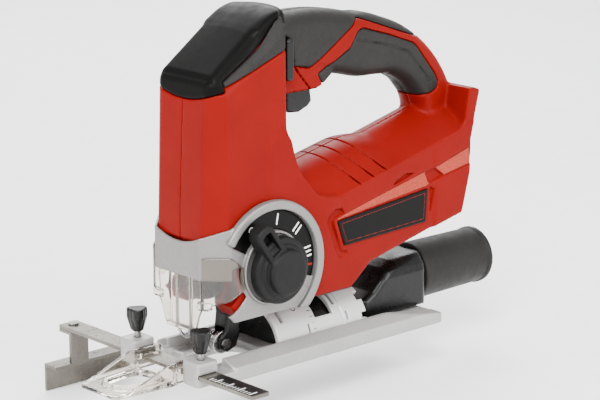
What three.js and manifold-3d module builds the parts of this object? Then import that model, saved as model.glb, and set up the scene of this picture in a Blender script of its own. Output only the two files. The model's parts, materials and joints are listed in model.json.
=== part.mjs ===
// A cordless jigsaw with a D-handle, built as it comes apart on a bench.
// Millimetres, +Z up. The origin is the middle of the sole. The blade end points to -X and
// the speed dial is on the -Y side. The tool tilts about an X axis just above the sole.

import * as THREE from 'three';
import { mergeVertices } from 'three/addons/utils/BufferGeometryUtils.js';
import Module from 'manifold-3d';

const wasm = await Module();
wasm.setup();

// ---------------------------------------------------------------- driving dimensions

const GAP = 0.3; // between neighbouring pieces
const TALL = 400; // longer than any piece, for cutting tools

const PLATE = { front: -89.6, rear: 89, half: 37.5, side: 8.6, ridge: 13, ridgeHalf: 28, pan: 4, slot: 11 };
const TILT = { z: 6, collar: 26, front: -42.5, rear: 33 };
const BLOCK = { front: -117, inner: 22, low: 2.5, high: 17.4 };
const RAIL = { front: -115.9, rear: -102.4, low: 7.8, high: 10, near: -84, far: 100 };
const STUD = { x: -108.5, y: 29.8, r: 2 };
const PORT = { z: 25.5, r: 19, wall: 2, front: 92, rear: 155 };

const WALL = 4.4; // casing wall, rubber skin included
const SKIN = 2.2; // rubber skin and lid
const HEAD = { half: 31 };
const BARREL = { z: 92, r: 33 };
const GRIP_HALF = 17;
const BATTERY_HALF = 33;

const MOTOR = { z: 92, canR: 21, canFront: 10, canRear: 74 };
const GEAR = { module: 1, pinionTeeth: 10, wheelTeeth: 44, front: -60, rear: -54, crank: 13 };
const GEAR_Z = MOTOR.z + (GEAR.module * (GEAR.pinionTeeth + GEAR.wheelTeeth)) / 2;
const BLADE_X = -81; // the plunger and blade line
const ROD_R = 4;
const ROLLER = { x: -69.4, z: 13, r: 7.2, half: 1.75 };
const ARM_PIVOT = { x: -64, z: 54 };

const KNOB = { x: -55.5, z: 64, r: 20.5, cap: 13.5, reach: 34, base: -36.2, step: -44, face: -50, angle: 122 };
const RING = { outer: 41, inner: 35.2, seatOuter: 22.6, seatInner: 20.9, face: -35.8 };
const DIAL = { from: -20, to: 150 };

// ---------------------------------------------------------------- looks

const look = (color, roughness, metalness = 0, opacity = 1) =>
  new THREE.MeshStandardMaterial({ color, roughness, metalness, opacity, transparent: opacity < 1 });

const RED = look(0xb8302a, 0.42);
const GRIP = look(0x39393b, 0.75);
const BLACK = look(0x1c1c1e, 0.45);
const SILVER = look(0xb4b4b6, 0.38, 0.6);
const CASTING = look(0xa9a9aa, 0.5, 0.8);
const STEEL = look(0xb9babc, 0.3, 1);
const DARK_STEEL = look(0x2a2a2c, 0.4, 0.8);
const CLEAR = look(0xe6dfd2, 0.08, 0, 0.35);
const WHITE = look(0xdedede, 0.4);
const COPPER = look(0xb06a3a, 0.4, 0.9);
const BOARD = look(0x1f5a34, 0.5);
const BRASS = look(0xb59a52, 0.35, 0.9);

// ---------------------------------------------------------------- solids

/** A manifold solid from a closed three.js geometry. */
function solid(geometry) {
  const plain = geometry.clone();
  plain.deleteAttribute('normal');
  plain.deleteAttribute('uv');
  const merged = mergeVertices(plain, 1e-4);
  const index = merged.index.array;
  const kept = [];
  for (let i = 0; i < index.length; i += 3) {
    const [a, b, c] = [index[i], index[i + 1], index[i + 2]];
    if (a !== b && b !== c && c !== a) kept.push(a, b, c);
  }
  return new wasm.Manifold(
    new wasm.Mesh({
      numProp: 3,
      vertProperties: new Float32Array(merged.attributes.position.array),
      triVerts: new Uint32Array(kept),
    }),
  );
}

const join = (first, ...rest) => rest.reduce((sum, next) => sum.add(next), first);
const cut = (first, ...rest) => rest.reduce((sum, next) => sum.subtract(next), first);
const common = (first, ...rest) => rest.reduce((sum, next) => sum.intersect(next), first);

/** The largest connected part, without the crumbs a cut leaves. */
function mainPart(body) {
  const parts = body.decompose();
  return parts.reduce((best, next) => (next.volume() > best.volume() ? next : best));
}

/** A three.js geometry from a manifold solid. */
function toGeometry(body) {
  const mesh = mainPart(body.simplify(0.03)).getMesh();
  const geometry = new THREE.BufferGeometry();
  geometry.setAttribute('position', new THREE.BufferAttribute(new Float32Array(mesh.vertProperties), 3));
  geometry.setIndex(new THREE.BufferAttribute(new Uint32Array(mesh.triVerts), 1));
  geometry.computeVertexNormals();
  return geometry;
}

/** A shape through the points [u, v] or [u, v, corner radius]. */
function shapeOf(points) {
  const shape = new THREE.Shape();
  const count = points.length;
  points.forEach(([u, v, radius = 0], i) => {
    const here = new THREE.Vector2(u, v);
    if (!radius) {
      if (i) shape.lineTo(u, v);
      else shape.moveTo(u, v);
      return;
    }
    const [before, after] = [points[(i + count - 1) % count], points[(i + 1) % count]];
    const toBefore = new THREE.Vector2(before[0], before[1]).sub(here).normalize();
    const toAfter = new THREE.Vector2(after[0], after[1]).sub(here).normalize();
    const half = Math.acos(THREE.MathUtils.clamp(toBefore.dot(toAfter), -1, 1)) / 2;
    const reach = radius / Math.tan(half);
    const enter = here.clone().addScaledVector(toBefore, reach);
    const leave = here.clone().addScaledVector(toAfter, reach);
    if (i) shape.lineTo(enter.x, enter.y);
    else shape.moveTo(enter.x, enter.y);
    shape.quadraticCurveTo(u, v, leave.x, leave.y);
  });
  shape.closePath();
  return shape;
}

/** The outline moved inwards by a distance, or outwards if it is negative. */
function inset(points, distance) {
  const count = points.length;
  const area = points.reduce((sum, [u, v], i) => {
    const [nextU, nextV] = points[(i + 1) % count];
    return sum + u * nextV - nextU * v;
  }, 0);
  const side = Math.sign(area);
  return points.map(([u, v, ...radius], i) => {
    const [before, after] = [points[(i + count - 1) % count], points[(i + 1) % count]];
    const a = new THREE.Vector2(u - before[0], v - before[1]).normalize();
    const b = new THREE.Vector2(after[0] - u, after[1] - v).normalize();
    const normal = new THREE.Vector2(-(a.y + b.y), a.x + b.x).normalize();
    const stretch = Math.min(1 / Math.abs(normal.x * -a.y + normal.y * a.x), 2);
    const move = side * distance * stretch;
    return [u + normal.x * move, v + normal.y * move, ...radius];
  });
}

/** Points along a smooth curve through the given ones. */
const smooth = (points, steps) =>
  new THREE.SplineCurve(points.map(([u, v]) => new THREE.Vector2(u, v))).getPoints(steps).map(({ x, y }) => [x, y]);

const AXES = {
  x: new THREE.Matrix4().makeBasis(
    new THREE.Vector3(0, 1, 0), new THREE.Vector3(0, 0, 1), new THREE.Vector3(1, 0, 0)),
  y: new THREE.Matrix4().makeBasis(
    new THREE.Vector3(1, 0, 0), new THREE.Vector3(0, 0, 1), new THREE.Vector3(0, -1, 0)),
  z: new THREE.Matrix4(),
};

/** An outline extruded along an axis. It is drawn in [y, z] for x, [x, z] for y and [x, y] for z. */
function slab(axis, outline, from, to, curveSegments = 3, bevel = {}) {
  const shape = outline instanceof THREE.Shape ? outline : shapeOf(outline);
  const geometry = new THREE.ExtrudeGeometry(shape, {
    depth: to - from, bevelEnabled: false, curveSegments, ...bevel });
  geometry.translate(0, 0, axis === 'y' ? -to : from);
  return solid(geometry.applyMatrix4(AXES[axis]));
}

const box = (x0, x1, y0, y1, z0, z1) => slab('z', [[x0, y0], [x1, y0], [x1, y1], [x0, y1]], z0, z1);

/** A circle's outline, or with two angles in degrees a sector of a ring. */
function circle(u, v, r, segments = 24) {
  const step = (2 * Math.PI) / segments;
  return Array.from({ length: segments }, (_, i) => [u + r * Math.cos(i * step), v + r * Math.sin(i * step)]);
}

function arc(u, v, r, from, to, segments) {
  return Array.from({ length: segments + 1 }, (_, i) => {
    const angle = THREE.MathUtils.degToRad(from + ((to - from) * i) / segments);
    return [u + r * Math.cos(angle), v + r * Math.sin(angle)];
  });
}

const sector = (u, v, inner, outer, from, to, segments) =>
  [...arc(u, v, outer, from, to, segments), ...arc(u, v, inner, to, from, segments)];

/** A round bar along an axis. */
const bar = (axis, u, v, r, from, to, segments = 20) => slab(axis, circle(u, v, r, segments), from, to);

/** A tube along an axis. */
const tube = (axis, u, v, outer, inner, from, to, segments = 20) =>
  cut(bar(axis, u, v, outer, from, to, segments), bar(axis, u, v, inner, from - 1, to + 1, segments));

/** A turned piece: the profile's [radius, height] points spin about +Z. */
function turned(profile, segments = 24) {
  const geometry = new THREE.LatheGeometry(profile.map(([r, h]) => new THREE.Vector2(r, h)), segments);
  return solid(geometry.rotateX(Math.PI / 2));
}

/** A wire along a path of straight runs with rounded corners. */
function wire(path, r, sides = 8) {
  const curve = new THREE.CatmullRomCurve3(path.map((p) => new THREE.Vector3(...p)), false, 'centripetal');
  const section = shapeOf(circle(0, 0, r, sides));
  return solid(new THREE.ExtrudeGeometry(section, { steps: 24, extrudePath: curve, bevelEnabled: false }));
}

const mirrorY = (body) => body.mirror([0, 1, 0]);
const LEFT_HALF = box(-TALL, TALL, -TALL, -GAP / 2, -TALL, TALL);
const RIGHT_HALF = box(-TALL, TALL, GAP / 2, TALL, -TALL, TALL);

const jigsaw = new THREE.Group();

/** Adds a named piece, with its own copy of a material, to the jigsaw. */
function piece(name, body, material, position = [0, 0, 0]) {
  const mesh = new THREE.Mesh(toGeometry(body), material.clone());
  mesh.name = name;
  mesh.position.set(...position);
  jigsaw.add(mesh);
}

// ---------------------------------------------------------------- outer form of the casing

const HEAD_SIDE = [
  [-99.5, 61.5], [-99.5, 87], [-95, 177.5, 3], [-86, 184], [-39.6, 214.6],
  [-39.6, 37], [-80, 37, 3], [-87, 46, 3], [-87, 61.5],
];
const HEAD_PLAN = [[-99.5, -20], [-87, -31], [-34, -31, 4], [-34, 31, 4], [-87, 31], [-99.5, 20]];
const ROOF_SLOPE = Math.atan2(29, 44);

const BODY_SIDE = [
  [-46, 36.8], [13, 36.8, 5], [29.1, 50.4, 6], [108.8, 69.1], [115.2, 95], [115.2, 116], [118, 132], [108, 137],
  [-46, 137],
];
const BODY_FRONT = [[-31, 36.8, 6], [31, 36.8, 6], [33, 80], [33, 150], [-33, 150], [-33, 80]];

// The body's roof rises to the rear, with a barrel over the motor. Both are drawn from one ridge point.
const ROOF = { x: 67, z: 130.6, rise: 14, fall: 0.54 };
const HUMP = { rise: 12.6, from: -30, to: 36, top: 125 };

const FLANGE_SIDE = [
  [84, 62], [108.8, 69.1], [115.6, 95.8], [115.6, 116.1], [123.7, 147.7], [118, 150], [112.5, 149], [107, 129],
  [97, 120], [84, 112],
];

// Two lines give the handle its taper: it is the common part of a bar under its back and one over its palm.
const BACK_LINE = [
  [-54, 183], [-40, 188.6], [-24, 190.5], [-1, 191], [22.4, 188], [39.7, 183.8], [53.3, 179.5], [68.7, 173.4],
  [84, 163], [95.5, 150], [102.5, 136], [106, 120],
];
const PALM_LINE = [
  [-54, 180], [-40, 187], [-24, 189.6], [0, 189.6], [21.4, 186.4], [33.6, 183.6], [45.7, 183.2], [57, 182.8],
  [72, 181], [90, 172.5], [100, 163.5], [108, 153], [113, 140], [114, 120],
];
const GRIP_TALL = 41;
const GRIP_PLAN = [[-60, -18], [24, -18], [112, -13.4], [130, -13.4], [130, 13.4], [112, 13.4], [24, 18], [-60, 18]];
const TRIGGER_BOX = [[-50, 161.8], [0, 161.8, 4], [12.6, 170], [12.6, 181], [-50, 181]];
const BEHIND = [[115.6, 60], [115.6, 116.1], [123.4, 147], [123.4, 200], [200, 200], [200, 60]];

/** A bar of the handle's rounded section, moved inwards by a depth and swept along a line. */
function gripBar(line, depth) {
  const [wide, tall] = [GRIP_HALF - depth, GRIP_TALL / 2 - depth];
  const [below, above] = [12 - depth, 14 - depth];
  const section = [[-wide, -tall, below], [wide, -tall, below], [wide, tall, above], [-wide, tall, above]];
  const points = line.map(([x, z]) => new THREE.Vector3(x, 0, z));
  return solid(new THREE.ExtrudeGeometry(shapeOf(section), {
    steps: 18, curveSegments: 3, extrudePath: new THREE.CatmullRomCurve3(points, false, 'centripetal'),
    bevelEnabled: false }));
}

/** The D-handle with the trigger's mouth. */
function handle(depth) {
  const plan = slab('z', inset(GRIP_PLAN, depth), 0, TALL);
  const grip = common(gripBar(BACK_LINE, depth), gripBar(PALM_LINE, depth), plan);
  const mouth = slab('y', inset(TRIGGER_BOX, depth), -14 + depth, 14 - depth);
  return cut(join(grip, mouth), slab('y', inset(BEHIND, -depth), -TALL, TALL));
}

/** The barrel over the motor, round at its rear end. */
function hump(depth) {
  const length = HUMP.to - HUMP.from;
  const r = BARREL.r - 2 - depth;
  return solid(new THREE.CapsuleGeometry(r, length, 6, 28).rotateZ(Math.PI / 2).translate(-length / 2, 0, 0))
    .rotate([0, -HUMP.rise, 0])
    .translate([HUMP.to, 0, HUMP.top - BARREL.r + 2]);
}

/** The body behind the head: walls, a roof with a soft ridge, and the hump. */
function body(depth) {
  const side = slab('y', inset(BODY_SIDE, depth), -BATTERY_HALF, BATTERY_HALF);
  const front = slab('x', inset(BODY_FRONT, depth), -46, 120);
  const ridge = [[-60, -TALL], [60, -TALL], [60, -60 * ROOF.fall], [0, 0, 14], [-60, -60 * ROOF.fall]];
  const roof = slab('x', inset(ridge, depth), -TALL, TALL).rotate([0, -ROOF.rise, 0]).translate([ROOF.x, 0, ROOF.z]);
  return common(side, front, join(roof, hump(depth)));
}

/** The head with its sloping, chamfered roof. */
function head(depth) {
  const side = slab('y', inset(HEAD_SIDE, depth), -HEAD.half + depth, HEAD.half - depth);
  const plan = slab('z', inset(HEAD_PLAN, depth), 0, TALL);
  const shoulder = [[-23, 0], [-31, -13], [-31, -TALL], [31, -TALL], [31, -13], [23, 0]];
  const roof = slab('x', inset(shoulder, depth), -TALL, TALL)
    .rotate([0, -THREE.MathUtils.radToDeg(ROOF_SLOPE), 0])
    .translate([-86, 0, 184]);
  return common(side, plan, roof);
}

/** The outer form of the casing with its grips and lid, moved inwards by a depth. */
function form(depth) {
  return join(head(depth), body(depth), handle(depth));
}

const FLANGE = cut(slab('y', FLANGE_SIDE, -BATTERY_HALF, BATTERY_HALF),
  slab('x', [[20, 160], [24, 127], [34, 119], [60, 119], [60, 160]], 80, 140));
const OUTER = join(form(0), FLANGE);
const UNDER_SKIN = join(form(SKIN), FLANGE);
const SKIN_BED = join(form(SKIN + GAP), FLANGE);
const HOLLOW = join(form(WALL), box(-50, -36, -22, 22, 60, 118));

// Where each skin piece lies, seen from the side.
const LID_SIDE = [[-110, 168.6], [-95, 170.4], [-86, 179.3], [-42, 208.3], [-22, 212.6], [-22, 240], [-110, 240]];
const LID_PLAN = [[-110, -60], [-89.5, -60], [-88.5, -23.4], [-42, -23.4], [-30, -16, 4], [-25.5, 0, 8], [-30, 16, 4],
  [-42, 23.4], [-88.5, 23.4], [-89.5, 60], [-110, 60]];
const UPPER_SIDE = [
  [-100, 174.5], [-88, 175.2], [-39.6, 193.2], [-33, 205], [-24, 204.5], [-21.5, 189], [-20.5, 178.6], [-6, 176],
  [8, 184], [30, 196.5], [37, 200], [60.6, 192.5], [87, 183], [96, 183], [96, 240], [-100, 240],
];
const LOWER_SIDE = [
  [36, 195], [62, 188.3], [83.5, 180], [98, 162.5], [106.5, 152], [103, 147.6], [92, 145.6], [81, 146.4],
  [66, 142], [60, 150], [52, 156], [14, 158], [8, 160], [0.3, 171.2], [25, 184],
];

const lidRegion = (grow) =>
  common(slab('y', inset(LID_SIDE, -grow), -60, 60), slab('z', inset(LID_PLAN, -grow), 0, TALL));
const upperRegion = (grow) => cut(slab('y', inset(UPPER_SIDE, -grow), -60, 60), lidRegion(GAP - grow));
const lowerRegion = (grow) => slab('y', inset(LOWER_SIDE, -grow), -60, 60);

const SKIN_LAYER = cut(OUTER, UNDER_SKIN);
const skinBed = (region) => common(cut(OUTER, SKIN_BED), region);

// ---------------------------------------------------------------- openings and bosses of the casing

const BAY_HALF = 15;
const BAY_TOP = 80;
const BLADE_BAY = join(
  box(-103, -50, -BAY_HALF, BAY_HALF, 30, 62),
  box(-103, -67, -BAY_HALF, BAY_HALF, 30, BAY_TOP),
);
const BAY_LINING = box(-97, -47.5, -BAY_HALF - 2.2, BAY_HALF + 2.2, 30, BAY_TOP + 2.2);
const TRIGGER = { front: -21, rear: 1, half: 8 };
const LOCK = { x: -28, z: 184, half: 3, reach: 13 };
const SCREWS = [
  [-52, 180], [-46, 45], [90, 84], [88, 119],
];
const BOSS_R = 4.6;

const FOOT_SIDE = [[-84, 43, 2], [-80, 37.3, 3], [-37, 37.3, 3], [-22, 46], [-22, 64], [-68, 64], [-71, 52]];
const LABEL_RECESS = [[-8, 89, 4], [-9.2, 83.5, 2], [1.4, 59.4, 4], [75.8, 63, 4], [82.4, 90, 4]];

/** The red casing's shell before it is split into halves. */
function casing() {
  const shell = cut(OUTER, HOLLOW, skinBed(lidRegion(GAP)), skinBed(upperRegion(GAP)), skinBed(lowerRegion(GAP)));
  const lining = common(BAY_LINING, SKIN_BED);
  const bosses = SCREWS.map(([x, z]) => common(bar('y', x, z, BOSS_R, -40, 40, 12), SKIN_BED));
  const faceRecess = box(-103, -96.9, -21, 21, 50, 83);
  const trigger = box(TRIGGER.front - 0.6, TRIGGER.rear + 0.6, -TRIGGER.half - 0.6, TRIGGER.half + 0.6, 140, 170);
  const lock = box(LOCK.x - LOCK.half - 0.5, LOCK.x + LOCK.half + 0.5, -40, -7.4, LOCK.z - LOCK.reach - 0.5,
    LOCK.z + LOCK.reach + 0.5);
  const port = join(box(98, 130, -22, 22, 76, 116), box(106, 130, -8, 8, 110, 135));
  const spindle = bar('y', KNOB.x, KNOB.z, 4.4, -40, -20, 16);
  const label = slab('y', LABEL_RECESS, -40, -31.8);
  const rightPlate = slab('y', LABEL_RECESS, 31.8, 40);
  const dialBed = bar('y', KNOB.x, KNOB.z, RING.outer + 0.4, -40, -HEAD.half, 40);
  const footBed = slab('y', inset(FOOT_SIDE, -0.4), -40, -HEAD.half);
  const rod = bar('z', BLADE_X, 0, ROD_R + 0.8, 70, 90, 16);
  const armPin = bar('y', ARM_PIVOT.x, ARM_PIVOT.z, 2.8, -17, 17, 12);
  return cut(join(shell, lining, ...bosses), BLADE_BAY, faceRecess, trigger, lock, port, spindle, label, rightPlate,
    rod, armPin, dialBed, footBed);
}

const LABEL = [[-0.8, 81.4], [4.8, 66.1], [75.7, 67.9], [76.5, 88.5], [0, 88]];

const CASING = casing();
const screwHoles = join(...SCREWS.map(([x, z]) =>
  join(bar('y', x, z, 2.1, -19, 40, 12), bar('y', x, z, 4, 8, 60, 12))));
const upper = common(SKIN_LAYER, upperRegion(0));
const lower = common(SKIN_LAYER, lowerRegion(0));
const casingHalf = (side) => cut(common(CASING, side), screwHoles);

piece('housing_left', casingHalf(LEFT_HALF), RED);
piece('housing_right', casingHalf(RIGHT_HALF), RED);

SCREWS.forEach(([x, z], i) => {
  piece(`housing_screw_${i + 1}`, join(
    bar('y', 0, 0, 1.8, -16, 9, 10),
    cut(bar('y', 0, 0, 3.6, 8.4, 11.2, 14), bar('y', 0, 0, 1.5, 9.8, 12, 6)),
  ), DARK_STEEL, [x, 0, z]);
});

piece('top_cover', common(SKIN_LAYER, lidRegion(0)), BLACK);
piece('shoulder_grip_left', common(upper, LEFT_HALF), GRIP);
piece('shoulder_grip_right', common(upper, RIGHT_HALF), GRIP);
piece('handle_grip_left', common(lower, LEFT_HALF), GRIP);
piece('handle_grip_right', common(lower, RIGHT_HALF), GRIP);

// ---------------------------------------------------------------- gear cover, dial and labels

const BAND_SIDE = [[-106, 61.5], [-72, 61.5], [-72, 92.5], [-86, 92.5], [-93, 88], [-106, 87]];
const COVER_PLAN = HEAD_PLAN.map(([x, y]) => [x > -60 ? 20 : x, y]);
const SMILE = [[-21, 87.6], ...smooth([[-19.6, 87], [0, 82.6], [19.6, 87]], 8), [21, 87.6], [21, 100], [-21, 100]];

/** The silver casting over the front of the gears, with the dial's raised bezel on the left. */
function gearCover() {
  const plan = (out) => slab('z', inset(COVER_PLAN, -out), 30, 120);
  const layer = cut(plan(1.8), plan(GAP));
  const band = cut(common(layer, slab('y', BAND_SIDE, -60, 60)), slab('x', SMILE, -110, -98));
  const rightEnd = common(layer, slab('y', [[-80, 61.5], [-61, 61.5, 8], [-61, 92.5, 8], [-80, 92.5]], 20, 60));
  const left = box(-TALL, TALL, -60, 0, 0, TALL);
  const disc = common(layer, left, slab('y', circle(KNOB.x, KNOB.z, RING.outer, 40), -60, 0));
  const foot = common(layer, left, slab('y', FOOT_SIDE, -60, 0));
  const bezel = slab('y', sector(KNOB.x, KNOB.z, RING.inner, RING.outer, -62, DIAL.to, 28), RING.face, -32);
  const seat = slab('y', sector(KNOB.x, KNOB.z, RING.seatInner, RING.seatOuter, -150, 208, 32), RING.face, -32);
  const window = slab('y', sector(KNOB.x, KNOB.z, RING.seatOuter, RING.inner, DIAL.from, DIAL.to, 20), -60, 0);
  const bore = bar('y', KNOB.x, KNOB.z, 4.6, -60, 0, 16);
  return cut(join(cut(join(band, rightEnd, disc, foot), window), bezel, seat), bore);
}

piece('gear_cover', gearCover(), SILVER);
piece('dial_plate', slab('y', sector(KNOB.x, KNOB.z, RING.seatOuter + GAP, RING.inner - GAP,
  DIAL.from + 1, DIAL.to - 1, 20), -32.4, -31.35), BLACK);
piece('label_plate', slab('y', LABEL, -33, -32.1), BLACK);

// ---------------------------------------------------------------- speed and stroke knob

/** The knob, drawn around its own axis, its pointer turned up to the zero mark. */
function knob() {
  const turn = THREE.MathUtils.degToRad(KNOB.angle);
  const along = ([u, v]) => [u * Math.cos(turn) - v * Math.sin(turn), u * Math.sin(turn) + v * Math.cos(turn)];
  const frame = [[6, -6.2], [31, -6.2], [KNOB.reach, -3.4], [KNOB.reach, 3.4], [31, 6.2], [6, 6.2]].map(along);
  const eye = [[14.5, -3.6], [29.5, -3.6], [29.5, 3.6], [14.5, 3.6]].map(along);
  const lever = cut(slab('y', frame, KNOB.step - 3, KNOB.base), slab('y', eye, -60, -40));
  const base = bar('y', 0, 0, KNOB.r, KNOB.step, KNOB.base, 36);
  const cap = bar('y', 0, 0, KNOB.cap, KNOB.face, KNOB.step, 28);
  const socket = bar('y', 0, 0, 4 + GAP, -41, KNOB.base + 1, 12);
  return cut(join(base, cap, lever), socket);
}

piece('orbit_knob', knob(), BLACK, [KNOB.x, 0, KNOB.z]);
piece('knob_spindle', bar('y', 0, 0, 4, -40.6, -20, 12), DARK_STEEL, [KNOB.x, 0, KNOB.z]);

// ---------------------------------------------------------------- trigger, lock and switch

const TRIGGER_SIDE = [[-20.4, 172], [-20.4, 149.5, 3], [-10, 147.6], [1, 152, 3], [1, 172]];
piece('trigger', cut(
  slab('y', TRIGGER_SIDE, -TRIGGER.half, TRIGGER.half),
  box(-17, -2, -5.6, 5.6, 160, 173),
), BLACK);
piece('trigger_spring', tube('z', -9.7, 0, 3.6, 2.4, 160.3, 179.7, 14), STEEL);
piece('switch_block', box(-21, 22, -8, 8, 180, 198), BLACK);
piece('lock_button', slab('y', [[-31, 171.2, 2.6], [-25, 171.2, 2.6], [-25, 196.8, 2.6], [-31, 196.8, 2.6]], -20, -11),
  BLACK);

// ---------------------------------------------------------------- motor and gears

/** A spur gear around X, its teeth slightly narrow so that they run free. */
function gear(teeth, from, to, phase) {
  const pitch = (GEAR.module * teeth) / 2;
  const step = (2 * Math.PI) / teeth;
  const outline = [];
  for (let i = 0; i < teeth; i += 1) {
    for (const [share, r] of [[-0.3, pitch - 1.2], [-0.11, pitch + 0.8], [0.11, pitch + 0.8], [0.3, pitch - 1.2]]) {
      const angle = (i + share) * step + phase;
      outline.push([r * Math.cos(angle), r * Math.sin(angle)]);
    }
  }
  return slab('x', outline, from, to);
}

const shaftPart = (r, from, to, segments = 14) => bar('x', 0, 0, r, from, to, segments);

piece('motor_can', cut(
  join(tube('x', 0, 0, MOTOR.canR, MOTOR.canR - 2.4, MOTOR.canFront, MOTOR.canRear, 28),
    tube('x', 0, 0, MOTOR.canR - 1, 7, MOTOR.canRear - 2, MOTOR.canRear, 28)),
  box(MOTOR.canFront + 4, MOTOR.canFront + 14, -30, 30, -5, 5),
), STEEL, [0, 0, MOTOR.z]);
piece('armature', join(shaftPart(2.5, GEAR.front - 1, 84), shaftPart(15, 18, 60, 20), shaftPart(8, 60.5, 69, 16),
  shaftPart(4, 60, 61)), COPPER, [0, 0, MOTOR.z]);
piece('pinion', cut(gear(GEAR.pinionTeeth, GEAR.front, GEAR.rear, Math.PI / 2), shaftPart(2.5 + GAP, -60, 0)),
  STEEL, [0, 0, MOTOR.z]);
const fanBlades = Array.from({ length: 8 }, (_, i) =>
  box(-1, 7, -0.8, 0.8, 6, 18.4).rotate([i * 45, 0, 0]));
piece('motor_fan', cut(join(shaftPart(7, -1, 7, 16), shaftPart(18.6, -1, 0.8, 24), ...fanBlades),
  shaftPart(2.5 + GAP, -60, 60)), BLACK, [0, 0, MOTOR.z]);
piece('front_bearing', cut(shaftPart(8, -22, -15, 20), shaftPart(2.5 + GAP, -60, 60)), STEEL, [0, 0, MOTOR.z]);
piece('rear_bearing', cut(shaftPart(6.5, 78, 83, 18), shaftPart(2.5 + GAP, 0, 100)), STEEL, [0, 0, MOTOR.z]);

const gearRise = GEAR_Z - MOTOR.z;
piece('drive_gear', cut(
  join(gear(GEAR.wheelTeeth, GEAR.front, GEAR.rear, -Math.PI / 2 + Math.PI / GEAR.wheelTeeth),
    bar('x', GEAR.crank, 0, 3.5, -71, GEAR.front + 1, 14)),
  shaftPart(3 + GAP, GEAR.front + 1.5, 0),
), STEEL, [0, 0, GEAR_Z]);
piece('gear_shaft', shaftPart(3, GEAR.front + 2, -45.5), DARK_STEEL, [0, 0, GEAR_Z]);
piece('gear_bracket', cut(
  slab('x', [[-25, -8, 4], [25, -8, 4], [25, 44, 12], [-25, 44, 12]], -51.5, -46),
  shaftPart(3.6, -60, 0), bar('x', 0, gearRise, 3 + GAP, -60, 0, 14),
), CASTING, [0, 0, MOTOR.z]);

// ---------------------------------------------------------------- plunger, chuck and roller

piece('plunger', cut(
  join(bar('z', 0, 0, ROD_R, 60, 162, 16),
    box(3.5, 9.5, -19.5, 19.5, GEAR_Z - 6, GEAR_Z + 6),
    box(-2, 5, -6, 6, GEAR_Z - 6, GEAR_Z + 6)),
  box(5, 12, -17, 17, GEAR_Z - 3.8, GEAR_Z + 3.8),
), STEEL, [BLADE_X, 0, 0]);
const bushing = (low, high) => cut(box(-8, 8, -9, 9, low, high), bar('z', 0, 0, ROD_R + GAP, low - 1, high + 1, 16));
piece('lower_bushing', bushing(84, 94), BRASS, [BLADE_X, 0, 0]);
piece('upper_bushing', bushing(141, 148), BRASS, [BLADE_X, 0, 0]);
piece('blade_chuck', cut(
  join(bar('z', 0, 0, 6.8, 44, 45.8, 20), bar('z', 0, 0, 5.6, 45, 63, 20), bar('z', 0, 0, 6.8, 56.6, 63, 20)),
  box(-4.2, 2.6, -0.8, 0.8, 40, 58), bar('z', 0, 0, ROD_R + GAP, 59.7, 64, 16),
), DARK_STEEL, [BLADE_X, 0, 0]);
piece('chuck_collar', cut(
  join(bar('z', 0, 0, 9.4, 46.2, 56.2, 22), slab('z', [[-4, 0], [-3, -13, 2], [3, -13, 2], [4, 0]], 48, 56.2)),
  bar('z', 0, 0, 5.6 + GAP, 40, 60, 20),
), BLACK, [BLADE_X, 0, 0]);

const ARM_SIDE = [[-69, 59, 3], [-59.5, 59, 3], [-59, 38], [-56.5, 26, 4], [-60, 9, 4], [-67, 6.2, 3], [-73.4, 9.5, 3],
  [-73.4, 16.5, 3], [-68.6, 21, 2], [-68.6, 40]];
piece('roller_arm', cut(
  slab('y', ARM_SIDE, -6, 6),
  box(-80, -58.6, -4.2, 4.2, 0, 22),
  bar('y', ARM_PIVOT.x, ARM_PIVOT.z, 2.8, -10, 10, 12),
  bar('y', ROLLER.x, ROLLER.z, 2.3, -10, 10, 12),
), DARK_STEEL);
piece('arm_pin', bar('y', 0, 0, 2.5, -16.7, 16.7, 12), STEEL, [ARM_PIVOT.x, 0, ARM_PIVOT.z]);
piece('guide_roller', cut(
  join(bar('y', 0, 0, ROLLER.r, -3.9, -ROLLER.half, 28), bar('y', 0, 0, ROLLER.r - 1.6, -2, 2, 28),
    bar('y', 0, 0, ROLLER.r, ROLLER.half, 3.9, 28)),
  bar('y', 0, 0, 2 + GAP, -5, 5, 12),
), STEEL, [ROLLER.x, 0, ROLLER.z]);
piece('roller_axle', join(bar('y', 0, 0, 2, -7.2, 7.2, 12), bar('y', 0, 0, 3.3, -7.8, -6.3, 6),
  bar('y', 0, 0, 3.3, 6.3, 7.8, 12)), STEEL, [ROLLER.x, 0, ROLLER.z]);

piece('finger_guard', wire([[0, -6.2, 79.6], [0, -6.2, 50], [0, -6.2, 30], [0, -4.6, 24], [0, 0, 21.6], [0, 4.6, 24],
  [0, 6.2, 30], [0, 6.2, 50], [0, 6.2, 79.6]], 1), STEEL, [-95.6, 0, 0]);
piece('lamp_lens', join(bar('z', 0, 0, 2.4, 75, 79.6, 14), bar('z', 0, 0, 1.7, 73.8, 75.5, 14)), CLEAR, [-90, 11, 0]);

// ---------------------------------------------------------------- clear guard

const EAR_SIDE = [[-104, 43.4], [-89, 49.8, 3], [-78.4, 53.6, 2], [-78.4, 63.4, 3], [-92.3, 74.8, 3], [-104, 74.4]];

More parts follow.
